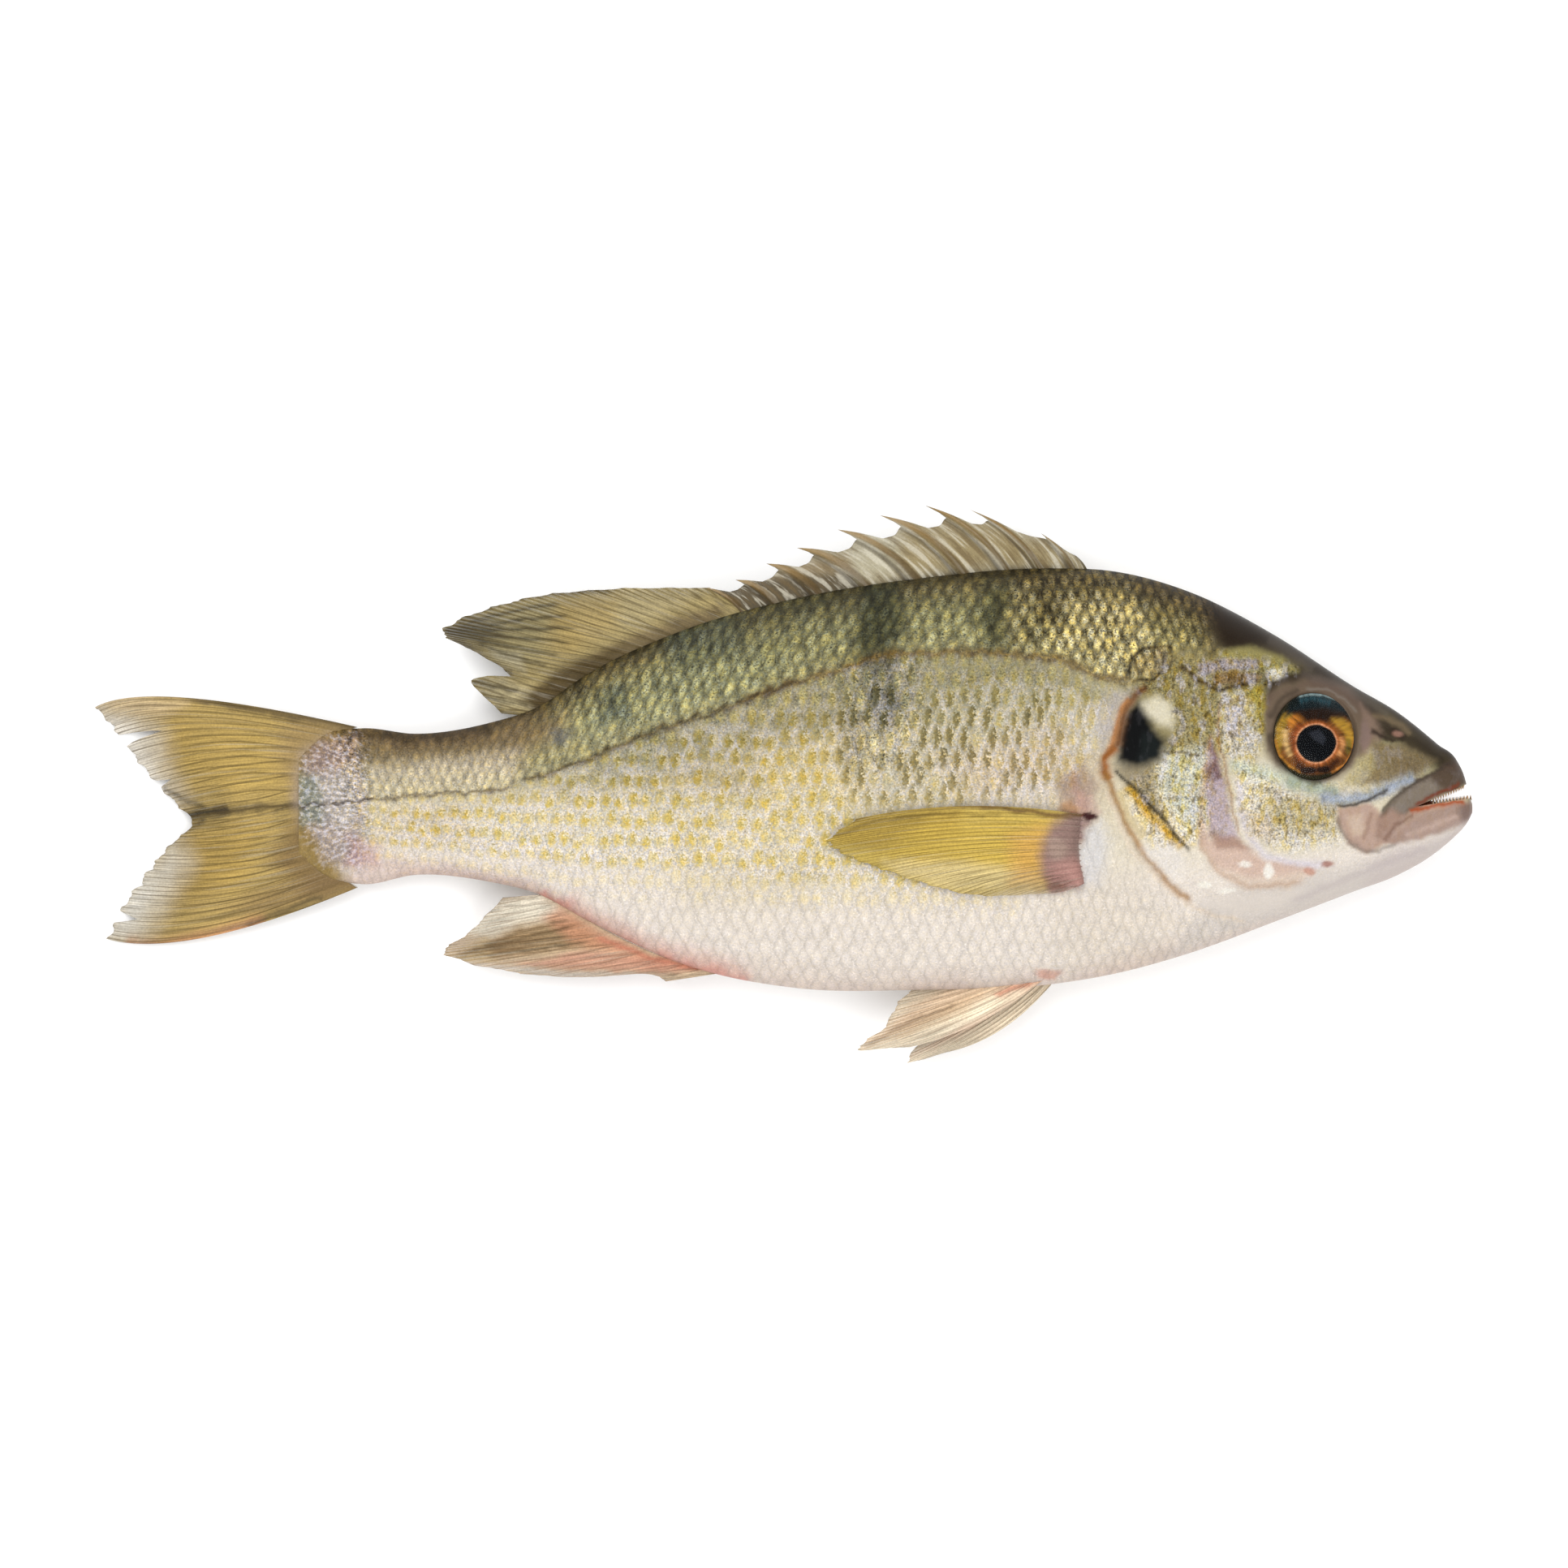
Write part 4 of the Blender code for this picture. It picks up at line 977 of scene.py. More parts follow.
# %% Strength of mottling, gloss and streaks
FINISH_MARKS = (
    # mottling, gloss, streaks
    area((1.0, 0.0, 0.0), 1.0, 16, 1400, 850, 1440, 812, 1506, 806, 1590, 816, 1600, 832, 1560, 850,
        1566, 900, 1545, 940, 1505, 930, 1500, 1000, 1470, 1040, 1420, 1040, 1384, 975, 1420, 940,
        1440, 900),
    area((0.95, 0.0, 0.0), 1.0, 24, 1520, 930, 1600, 972, 1650, 990, 1650, 1036, 1590, 1048, 1545, 1030,
        1526, 990),
    area((0.05, 0.3, 0.0), 1.0, 14, 1386, 876, 1404, 858, 1424, 854, 1443, 862, 1450, 890, 1440, 916,
        1430, 938, 1400, 948, 1376, 942, 1377, 905),
    area((0.0, 0.9, 0.0), 1.0, 24, 1496, 700, 1500, 770, 1560, 798, 1630, 830, 1700, 880, 1760, 930,
        1850, 960, 1850, 850, 1650, 700),
    area((0.0, 0.8, 0.0), 1.0, 12, 1558, 850, 1600, 830, 1660, 840, 1700, 880, 1690, 930, 1650, 962,
        1600, 965, 1560, 930),
    area((0.12, 0.7, 0.0), 1.0, 14, 1802, 948, 1740, 970, 1700, 990, 1650, 994, 1652, 1020, 1684, 1052,
        1760, 1036, 1830, 1010),
    area((0.30, 0.0, 0.0), 1.0, 10, 1660, 962, 1676, 930, 1700, 912, 1768, 938, 1750, 958, 1724, 976,
        1686, 990, 1640, 994, 1600, 980, 1560, 962, 1600, 962),
    area((0.0, 0.7, 0.0), 1.0, 20, 1640, 1080, 1760, 1040, 1830, 1010, 1760, 1070, 1640, 1110, 1500, 1135,
        1480, 1110, 1560, 1100),
    area((0.0, 0.0, 1.0), 1.0, 30, 440, 905, 456, 950, 454, 1030, 446, 1072, 400, 1066, 368, 1020, 355, 980,
        366, 930, 400, 908),
    area((0.5, 0.1, 0.0), 0.8, 12, 1492, 915, 1503, 920, 1526, 1030, 1488, 1034),
)
TALL_DASHES = (-45.0, 40.0)  # mm along the fish
STREAK_CENTRE = (-70.0, -3.5)
STREAK_WIDTH, STREAK_LENGTH = 0.03, 1.4  # radians, mm
FAINT_NET = 0.08
PATTERN_WOBBLE, FINISH_WOBBLE = 6.0, 3.0  # pixels
SCALED_FEATHER, SCALED_FROM = 30.0, (420.0, 470.0)  # pixels


def keep_pattern(piece):
    points = points_of(piece)
    px, py = seen_at(points)
    strength = np.tile((FAINT_NET, 0.0, 0.0), (len(points), 1))
    keep_colour(piece, "pattern", lay_marks(PATTERN_MARKS, px, py, strength, PATTERN_WOBBLE))
    plain_skin = np.zeros((len(points), 3))
    keep_colour(piece, "finish", lay_marks(FINISH_MARKS, px, py, plain_skin, FINISH_WOBBLE))
    back_rows, low_rows = scale_places(points[:, 0], points[:, 1])
    keep_place(piece, "back_scales", back_rows)
    keep_place(piece, "low_scales", low_rows)
    tall = ramp(points[:, 0], *TALL_DASHES)
    scaled = (1 - closed_area(px, py, HEAD_SKIN, SCALED_FEATHER)) * ramp(px, *SCALED_FROM)
    keep_colour(piece, "rows", np.column_stack((above_lateral_line(px, py), tall, scaled)))
    from_x, from_y = points[:, 0] - STREAK_CENTRE[0], points[:, 1] - STREAK_CENTRE[1]
    turn = np.arctan2(from_y, -from_x) / STREAK_WIDTH
    keep_place(piece, "streaks", np.column_stack((turn, np.hypot(from_x, from_y) / STREAK_LENGTH)))


for piece in skins.values():
    keep_pattern(piece)
print(len(FINISH_MARKS), "marks steer the finish")

# %% [markdown]
# ## Writing materials as formulas
# A material made of nodes is a formula drawn as boxes. A small class lets Python write it as a formula
# instead: adding or multiplying two Numbers makes the Math node and its links.

# %% Numbers and colours in a material
class Number:
    """A number in a material. Sums and products of Numbers become Math nodes."""

    def __init__(self, socket):
        self.socket = socket
        self.tree = socket.id_data

    def math(self, operation, *others):
        node = self.tree.nodes.new("ShaderNodeMath")
        node.operation = operation
        for place, value in zip(node.inputs, (self,) + others):
            plug(value, place)
        return Number(node.outputs[0])

    def __add__(self, other):
        return self.math("ADD", other)

    def __sub__(self, other):
        return self.math("SUBTRACT", other)

    def __mul__(self, other):
        return self.math("MULTIPLY", other)

    def __truediv__(self, other):
        return self.math("DIVIDE", other)

    def __abs__(self):
        return self.math("ABSOLUTE")

    __radd__ = __add__
    __rmul__ = __mul__

    def __rsub__(self, other):
        return (self * -1.0) + other

    def step(self, low, high):
        """0 below low, 1 above high, smooth between them. Low may be the larger one."""
        node = self.tree.nodes.new("ShaderNodeMapRange")
        node.interpolation_type = "SMOOTHSTEP"
        plug(self, node.inputs["Value"])
        if low > high:
            low, high = high, low
            node.inputs["To Min"].default_value, node.inputs["To Max"].default_value = 1.0, 0.0
        node.inputs["From Min"].default_value, node.inputs["From Max"].default_value = low, high
        return Number(node.outputs["Result"])


def plug(value, place):
    """Puts a Number, a socket or a plain value into an input."""
    if isinstance(value, Number):
        value = value.socket
    if isinstance(value, bpy.types.NodeSocket):
        place.id_data.links.new(value, place)
    elif isinstance(value, str):
        place.default_value = (*tint(value), 1.0)
    else:
        place.default_value = value


def mixed(tree, share, first, second, kind="MIX"):
    """A colour between two colours, by the share of the second one."""
    node = tree.nodes.new("ShaderNodeMix")
    node.data_type = "RGBA"
    node.blend_type = kind
    for place, value in zip((node.inputs[0], node.inputs[6], node.inputs[7]), (share, first, second)):
        plug(value, place)
    return node.outputs[2]


def stored(tree, name, output="Color"):
    node = tree.nodes.new("ShaderNodeAttribute")
    node.attribute_name = name
    return node.outputs[output]


def parts(tree, vector):
    node = tree.nodes.new("ShaderNodeSeparateXYZ")
    plug(vector, node.inputs[0])
    return [Number(output) for output in node.outputs]


def noise(tree, size, detail=2.0, place=None):
    """Random values round 0.5, in patches of about the size, in mm or in the units of the place."""
    node = tree.nodes.new("ShaderNodeTexNoise")
    node.inputs["Scale"].default_value = 1.0 / size
    if place is None:
        node.inputs["Scale"].default_value /= MM
        place = tree.nodes.new("ShaderNodeTexCoord").outputs["Object"]
    node.inputs["Detail"].default_value = detail
    plug(place, node.inputs["Vector"])
    return Number(node.outputs["Fac"])


def brightened(tree, colour, factor):
    """A colour times a number."""
    return mixed(tree, 1.0, colour, factor, "MULTIPLY")


def tinted(tree, share, colour, factors):
    """A colour whose red, green and blue are multiplied by factors, where the share is 1."""
    return mixed(tree, share, colour, factors, "MULTIPLY")


def combined(tree, x, y):
    """A place from two numbers."""
    node = tree.nodes.new("ShaderNodeCombineXYZ")
    plug(x, node.inputs[0])
    plug(y, node.inputs[1])
    return node.outputs[0]


def bumped(tree, height, depth):
    """A normal that is tilted by a height from 0 to 1, with the depth in mm."""
    node = tree.nodes.new("ShaderNodeBump")
    node.inputs["Distance"].default_value = depth * MM
    node.inputs["Strength"].default_value = 1.0
    plug(height, node.inputs["Height"])
    return node.outputs["Normal"]


def new_material(name):
    """A material, its nodes, and the inputs of its surface."""
    material = bpy.data.materials.new(name)
    material.use_nodes = True
    surface = material.node_tree.nodes["Principled BSDF"]
    return material, material.node_tree, surface.inputs


# %% [markdown]
# ## The skin's material
# A Voronoi texture with little randomness, fed with the turned grid, gives one cell for each scale. The
# offset from the cell's middle draws scales and dashes, and the distance to its edge tilts each scale. Two
# random numbers for each cell, and fine noise, keep it from looking printed.

# %% Cells of the scales
CELL_RANDOMNESS = 0.3


def cells(tree, place_name):
    """Edge distance, two random numbers, and the offset along and across the rows, for each scale."""
    place = stored(tree, place_name, "Vector")
    edge = tree.nodes.new("ShaderNodeTexVoronoi")
    edge.voronoi_dimensions, edge.feature = "2D", "DISTANCE_TO_EDGE"
    cell = tree.nodes.new("ShaderNodeTexVoronoi")
    cell.voronoi_dimensions, cell.feature = "2D", "F1"
    for node in (edge, cell):
        node.inputs["Scale"].default_value = 1.0
        node.inputs["Randomness"].default_value = CELL_RANDOMNESS
        plug(place, node.inputs["Vector"])
    away = tree.nodes.new("ShaderNodeVectorMath")
    away.operation = "SUBTRACT"
    plug(place, away.inputs[0])
    plug(cell.outputs["Position"], away.inputs[1])
    first, second, _ = parts(tree, away.outputs[0])
    luck, other_luck, _ = parts(tree, cell.outputs["Color"])
    return Number(edge.outputs["Distance"]), luck, other_luck, (first + second) * 0.5, first - second


def by_row(above, upper, lower):
    """The upper number above the lateral line, and the lower one below it."""
    return upper * above + lower * (1.0 - above)


def ellipse(along, across, half_length, half_width):
    """Distance from the middle of an ellipse, counted so that it is 1 on the ellipse."""
    far_along = (along / half_length).math("POWER", 2.0)
    far_across = (across / half_width).math("POWER", 2.0)
    return (far_along + far_across).math("SQRT")


def swing(value):
    return value - 0.5


# %% [markdown]
# ## The numbers that all steps share
# The strengths kept at the vertices, the place within a scale and the noises are gathered once.

# %% Numbers of the skin
SPECK_SIZE, FLECK_SIZE, PATCH_SIZE, HAIR_SIZE = 0.36, 0.9, 3.0, 1.0  # mm, and for the hair its own units


class SkinNumbers:
    """The numbers that the skin's pattern is made of, at each place."""

    def __init__(self, tree):
        self.net, self.yellow, self.brown = parts(tree, stored(tree, "pattern"))
        self.mottle, self.gloss, self.streaked = parts(tree, stored(tree, "finish"))
        self.above, self.tall, self.crescents = parts(tree, stored(tree, "rows"))
        grids = zip(cells(tree, "back_scales"), cells(tree, "low_scales"))
        in_scale = [by_row(self.above, upper, lower) for upper, lower in grids]
        self.edge, self.luck, self.other_luck, self.along, self.across = in_scale
        self.speck, self.fleck = noise(tree, SPECK_SIZE, 2.0), noise(tree, FLECK_SIZE, 3.0)
        self.patch = noise(tree, PATCH_SIZE, 3.0)
        self.clump = self.patch.step(0.42, 0.60)
        self.hair = noise(tree, HAIR_SIZE, 2.0, stored(tree, "streaks", "Vector"))


print("noise of", SPECK_SIZE, FLECK_SIZE, "and", PATCH_SIZE, "mm")

# %% [markdown]
# ## Scales of the back
# Each scale is a ragged pale oval in a yellow rim, with dark gaps between. The paint below is multiplied by
# a factor for red, green and blue, so the painted bars stay visible.

# %% Scales of the back
OVAL = (0.29, 0.54)  # half length and half width, in scales
OVAL_RAGGED = (2.6, 2.0)  # by the flecks and by the specks
SCALE_MIDDLE = (2.0, 2.05, 2.25, 1.0)
SCALE_GOLD = (1.10, 0.96, 0.50, 1.0)
SCALE_RIM = (1.20, 1.08, 0.55, 1.0)
SCALE_GAP = (0.22, 0.20, 0.15, 1.0)
CLOUD_SIZE, CLOUD_STRENGTH = 2.2, 2.2


def with_back_scales(tree, skin, shade):
    net = skin.net
    ragged = swing(skin.fleck) * OVAL_RAGGED[0] + swing(skin.speck) * OVAL_RAGGED[1]
    oval = ellipse(skin.along, skin.across, *OVAL) + ragged
    middle = oval.step(1.25, 0.5)
    between = oval.step(0.85, 1.4)
    shade = tinted(tree, middle * net * (skin.luck * 0.5 + 0.45), shade, SCALE_MIDDLE)
    shade = tinted(tree, middle * net * skin.clump * 0.8, shade, SCALE_GOLD)
    shade = tinted(tree, (1.0 - middle) * (1.0 - between) * net, shade, SCALE_RIM)
    lighter_sides = 1.0 - abs(skin.across).step(0.15, 0.5) * 0.4
    shade = tinted(tree, between * net * lighter_sides, shade, SCALE_GAP)
    cloudy = swing(noise(tree, CLOUD_SIZE, 3.0)) * net * CLOUD_STRENGTH
    return brightened(tree, shade, cloudy + 1.0)


print("ovals of", OVAL, "scales")

# %% [markdown]
# ## Dashes of the flank
# Below the lateral line dashes stand in level rows, tall in front and short behind. A faint yellow band
# joins each row. On the belly a faint arc marks each scale.

# %% Dashes of the flank
WANDER = (0.8, 0.5)  # by the flecks and by the specks
PALE_GROUND = "#dcd3d4"
BAND_YELLOW = (0.96, 0.91, 0.66, 1.0)
DASH_YELLOW = (0.84, 0.72, 0.22, 1.0)
DASH_BROWN = (0.28, 0.26, 0.18, 1.0)
ARC = (0.4, 0.62)  # half length and half width, in scales


def with_dashes(tree, skin, shade):
    wander = swing(skin.fleck) * WANDER[0] + swing(skin.speck) * WANDER[1]
    along, across = skin.along + wander, skin.across + wander
    width = skin.luck * 0.06 + 0.21
    length = skin.luck * 0.16 + skin.tall * 0.24 + 0.19
    dash = ellipse(along, across, width, length).step(1.6, 0.4)
    below = 1.0 - skin.above
    ground = (1.0 - dash) * (skin.yellow + skin.brown * 0.6) * below
    band = abs(skin.across + wander * 0.5).step(0.45, 0.1) * skin.yellow * below
    shade = mixed(tree, ground * (skin.clump * 0.25 + 0.15), shade, PALE_GROUND)
    shade = tinted(tree, band * (skin.clump * 0.4 + 0.6), shade, BAND_YELLOW)
    shade = tinted(tree, dash * skin.yellow * skin.other_luck.step(-0.2, 0.5) * 0.8, shade, DASH_YELLOW)
    core = ellipse(along, across, width * 0.95, length * 1.1).step(1.35, 0.5)
    shade = tinted(tree, core * skin.brown * skin.luck.step(0.0, 0.6) * 0.9, shade, DASH_BROWN)
    arc = abs(ellipse(skin.along, skin.across, *ARC) - 1.0 + wander * 1.4).step(0.5, 0.0)
    arc = arc * skin.along.step(0.15, -0.2) * skin.crescents * (1.0 - skin.net)
    return brightened(tree, shade, 1.0 - arc * (skin.fleck * 0.26))


print("dashes wander by up to", sum(WANDER) / 2, "scales")

# %% [markdown]
# ## Mottling and streaks
# The gill cover and cheek are mottled in patches taller than wide. Fine pale hairs fan out to the tail fin.

# %% Mottling and streaks
MOTTLE_SIZES = (1.5, 1.9, 1.1)  # gold, lilac and earth, in mm
MOTTLE_GOLD = (0.92, 0.80, 0.36, 1.0)
MOTTLE_LILAC = "#c6c2cc"
MOTTLE_EARTH = (0.45, 0.40, 0.30, 1.0)
FROST = "#e6e3ee"


def with_mottling(tree, skin, shade):
    object_x, object_y, _ = parts(tree, tree.nodes.new("ShaderNodeTexCoord").outputs["Object"])
    upright = combined(tree, object_x / MM, object_y * (0.5 / MM))
    gold, lilac, earth = (noise(tree, size, 4.0, upright) for size in MOTTLE_SIZES)
    shade = tinted(tree, gold.step(0.49, 0.60) * skin.mottle * 0.85, shade, MOTTLE_GOLD)
    shade = mixed(tree, lilac.step(0.51, 0.64) * skin.mottle * 0.42, shade, MOTTLE_LILAC)
    return tinted(tree, earth.step(0.54, 0.66) * skin.mottle * 0.85, shade, MOTTLE_EARTH)


def with_streaks(tree, skin, shade):
    shade = brightened(tree, shade, 1.0 - skin.hair.step(0.55, 0.42) * skin.streaked * 0.28)
    return mixed(tree, skin.hair.step(0.50, 0.64) * skin.streaked * 0.35, shade, FROST)


print("mottling in patches of", MOTTLE_SIZES, "mm")

# %% [markdown]
# ## Grain and flecks
# Close up the skin is grainy, with yellow and bluish flecks, and small painted glints, spots of brightened
# colour that stand in for light on the wet skin.

# %% Grain and flecks
TONE_SIZE, PAINTED_GLINT_SIZE = 0.55, 0.5
FLECK_GOLD = (1.12, 1.0, 0.62, 1.0)
FLECK_BLUE = (0.82, 0.92, 1.08, 1.0)


def with_grain(tree, skin, shade):
    rough = 1.0 - skin.gloss * 0.9
    flecked = skin.net * 0.6 + skin.yellow * 0.5 + skin.brown * 0.3
    flecked = flecked + skin.mottle * 0.5 + skin.streaked * 0.4 + 0.1
    tone = noise(tree, TONE_SIZE, 2.0)
    shade = tinted(tree, tone.step(0.50, 0.66) * rough * flecked, shade, FLECK_GOLD)
    shade = tinted(tree, tone.step(0.50, 0.34) * rough * flecked, shade, FLECK_BLUE)
    grain = swing(skin.speck) * 2.2 + swing(skin.fleck) + swing(skin.patch) * 0.5
    strength = flecked * 0.8 + skin.net * 1.1 + skin.mottle * 0.5 + 0.15
    shade = brightened(tree, shade, grain * rough * strength + 1.0)
    # painted glints: small spots where the colour is brightened, standing in for light on the wet skin
    painted_glint = noise(tree, PAINTED_GLINT_SIZE, 1.0).step(0.62, 0.76) * rough * (skin.net + 0.4)
    return brightened(tree, shade, painted_glint * 0.5 + 1.0)


print("grain over the pattern, glints of", PAINTED_GLINT_SIZE, "mm")

# %% [markdown]
# ## Wet skin
# The steps are laid over the paint in turn, and a small bump tilts each scale. Fish skin is wet but not like
# glass: a low specular level keeps the dark tones dark, and a very thin clear coat is the slime.

# %% Wet skin
BUMP_DEPTH = 0.14  # mm


def skin_material():
    material, tree, surface = new_material("wet_skin")
    skin = SkinNumbers(tree)
    shade = stored(tree, "paint")
    for step in (with_back_scales, with_dashes, with_mottling, with_streaks, with_grain):
        shade = step(tree, skin, shade)
    plug(shade, surface["Base Color"])
    tile = skin.edge.step(0.0, 0.2) * (0.75 - skin.along * 0.5) * skin.crescents
    fine = skin.speck * 0.3 * (1.0 - skin.gloss) + skin.hair * skin.streaked * 0.5
    plug(bumped(tree, tile * (skin.net * 0.6 + 0.12) + fine, BUMP_DEPTH), surface["Normal"])
    plug(skin.speck * 0.25 + 0.38 - skin.gloss * 0.2, surface["Roughness"])
    surface["Specular IOR Level"].default_value = 0.05
    surface["Coat Weight"].default_value = 0.03
    surface["Coat Roughness"].default_value = 0.12
    return material


def dress(piece, material):
    piece.data.materials.clear()
    piece.data.materials.append(material)
    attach(piece, "root")
    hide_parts("fish")


wet_skin = skin_material()
for piece in skins.values():
    dress(piece, wet_skin)
print(len(wet_skin.node_tree.nodes), "nodes in the skin")

# %% [markdown]
# ## Fins
# A fin is a thin web held by bony rays that fan out from its foot, and each soft ray splits in two and again
# in two towards its tip. A fin here is a grid whose columns run along the rays, bent over three curves: the
# feet, the places they bend towards, and the tips. It is thick on the rays and thin between them. The grid's
# own coordinates are kept, so that the material can draw every branch of every ray.

# %% Fin curves in mm, as in the CAD model
BACK_FIN = {
    "feet": (
        (0, -7.6, 35.0), (0.36, -24.8, 28.5), (0.6, -33.9, 24.2), (0.85, -43.5, 18.6), (1, -49.5, 13.5),
    ),
    "tips": (
        (0, -15.2, 39.9), (0.18, -36.4, 39.7), (0.36, -53.7, 37.7), (0.6, -70.2, 30.8),
        (0.75, -62.8, 26.5), (0.85, -57.5, 22.6), (0.92, -63.9, 21.0), (1, -57.6, 14.2),
    ),
}
VENT_FIN = {
    "feet": (
        (0, -12.5, -38.6), (0.3, -23.0, -35.6), (0.6, -34.5, -30.4), (0.8, -42.2, -26.0), (1, -47.9, -22.6),
    ),
    "tips": (
        (0, -24.0, -40.4), (0.12, -28.0, -38.9), (0.25, -40.5, -39.6), (0.4, -53.7, -38.9),
        (0.6, -69.6, -35.0), (0.8, -64.4, -30.4), (1, -57.3, -23.3),
    ),
}
TAIL_FIN = {
    "feet": (
        (0, -86.7, 11.4), (0.25, -95.8, 6.6), (0.5, -98.0, -4.1), (0.75, -95.8, -14.9), (1, -86.7, -21.2),
    ),
    "bends": (
        (0, -131.0, 21.6), (0.25, -116.0, 9.9), (0.5, -109.8, -6.3), (0.75, -114.0, -20.5),
        (1, -123.0, -36.4),
    ),
    "tips": (
        (0, -141.2, 15.4), (0.12, -137.2, 10.6), (0.25, -132.6, 4.2), (0.4, -125.8, -3.4),
        (0.5, -121.3, -8.0), (0.6, -125.4, -12.1), (0.75, -131.2, -18.6), (0.88, -136.2, -25.9),
        (1, -138.8, -31.8),
    ),
}
BREAST_FIN = {
    "feet": ((0, 63.5, -6.8), (1, 61.3, -20.0)),
    "bends": ((0, 36.4, -2.1), (0.5, 38.7, -13.2), (1, 56.8, -22.3)),
    "tips": (
        (0, 13.9, -7.4), (0.15, 8.2, -11.4), (0.35, 11.5, -14.6), (0.55, 22.2, -18.6), (0.8, 38.7, -22.8),
        (1, 53.5, -22.3),
    ),
}
BELLY_FIN_UPPER = {
    "feet": ((0, 55.2, -37.8), (1, 53.2, -35.0)),
    "bends": ((0, 41.0, -50.5), (0.5, 38.5, -44.0), (1, 40.0, -38.9)),
    "tips": (
        (0, 25.3, -53.8), (0.25, 14.2, -54.4), (0.5, 19.7, -50.0), (0.75, 22.4, -45.2), (1, 25.8, -41.7),
    ),
}
BELLY_FIN_LOWER = {
    "feet": ((0, 57.0, -37.8), (1, 55.0, -35.0)),
    "bends": ((0, 46.5, -52.0), (0.5, 42.5, -49.0), (1, 43.0, -43.0)),
    "tips": ((0, 33.4, -54.8), (0.5, 24.7, -56.5), (0.75, 28.0, -52.0), (1, 32.0, -47.0)),
}
SPINES = (
    # x of the foot, then x and y of the tip
    (62.0, 58.8, 46.7), (59.3, 52.4, 50.8), (52.4, 38.0, 55.6), (45.8, 28.8, 56.5), (36.9, 19.6, 54.5),
    (27.1, 11.0, 51.6), (17.1, 2.7, 47.9), (7.3, -3.5, 44.7), (-1.4, -9.8, 41.4), (-8.3, -16.1, 39.8),
)
# Tears in the web: ray, how far out the web still reaches, half width in rays.
TORN_TAIL = ((2.6, 0.72, 0.36), (5.4, 0.87, 0.2), (11.6, 0.95, 0.2), (12.6, 0.94, 0.2), (14.5, 0.87, 0.42))
TORN_BACK = ((12.0, 0.84, 0.35),)
FIN_SAG = 1.6  # mm, and none behind the first of these stations
SAG_FROM = (-100.0, -60.0)
FOOT_DEPTH = -0.1
CLEARANCE = 0.05


def curve_points(points, shares):
    table = np.array(points, float)
    return np.column_stack([smooth_curve(shares, table[:, 0], table[:, i]) for i in (1, 2)])


def bent(feet, bends, tips, t):
    """Points along curves that leave the feet towards the bends and end at the tips."""
    return (1 - t)[..., None] ** 2 * feet + (2 * t * (1 - t))[..., None] * bends + t[..., None] ** 2 * tips


print(len(SPINES), "spines and 7 fins of soft rays")

# %% [markdown]
# ## Fin surfaces
# A fin's middle surface is thickened into a closed thin solid: one sheet above, one below and walls round
# the rim. The ray and the share of its length are kept at each vertex for the material.

# %% Fin surfaces
COLUMNS_PER_RAY = 8
FIRST_BRANCH, SECOND_BRANCH = (0.05, 0.4), (0.45, 0.9)  # shares of a ray's length over which it parts
RAY_WIDTH = 0.09
WEB_FOOT, WEB_THINS, RAY_FOOT, RAY_THINS = 0.22, 0.08, 0.3, 0.16  # half thicknesses in mm
SCALLOP, FRAY = 0.022, 0.015  # how far the margin dips between rays, and how far it is frayed
WAVE, WAVE_SIZE = 0.25, 8.0
FIN_WOBBLE = 2.0  # pixels


def branch_distance(ray, t):
    """Distance to the nearest branch, in ray spacings: each ray parts in two, and then in two again."""
    away = np.abs(ray - np.round(ray))
    away = np.abs(away - 0.25 * ramp(t, *FIRST_BRANCH))
    return np.abs(away - 0.125 * ramp(t, *SECOND_BRANCH))


def turn_faces_out(mesh):
    bm = bmesh.new()
    bm.from_mesh(mesh)
    bmesh.ops.recalc_face_normals(bm, faces=bm.faces)
    bm.to_mesh(mesh)
    bm.free()


def thin_solid(name, middle, half_thickness):
    """A closed thin solid round a grid of points, which stays clear of the table."""
    middle = middle.copy()
    middle[..., 2] = np.maximum(middle[..., 2], half_thickness + CLEARANCE)
    offset = np.zeros_like(middle)
    offset[..., 2] = half_thickness
    rows, columns = middle.shape[:2]
    sheet = grid_faces(rows, columns, closed=False)
    below = rows * columns
    rim = list(range(columns)) + [i * columns + columns - 1 for i in range(1, rows)]
    rim += [(rows - 1) * columns + j for j in range(columns - 2, -1, -1)]
    rim += [i * columns for i in range(rows - 2, 0, -1)]
    walls = [(a, b, b + below, a + below) for a, b in zip(rim, rim[1:] + rim[:1])]
    points = np.concatenate(((middle + offset).reshape(-1, 3), (middle - offset).reshape(-1, 3)))
    piece = mesh_piece(name, points, sheet.tolist() + (sheet[:, ::-1] + below).tolist() + walls)
    turn_faces_out(piece.data)
    return piece


def keep_fin(piece, ray, t, marks, ground):
    """Paint, and the place along and across the rays, at each vertex of a fin."""
    points = points_of(piece)
    px, py = seen_at(points)
    paint = lay_marks(marks, px, py, np.tile(tint(ground), (len(points), 1)), FIN_WOBBLE)
    keep_colour(piece, "paint", np.clip(paint, 0.0, 1.0))
    places = np.stack((ray, t), axis=-1).reshape(-1, 2)
    keep_place(piece, "ray_place", np.concatenate((places, places)))


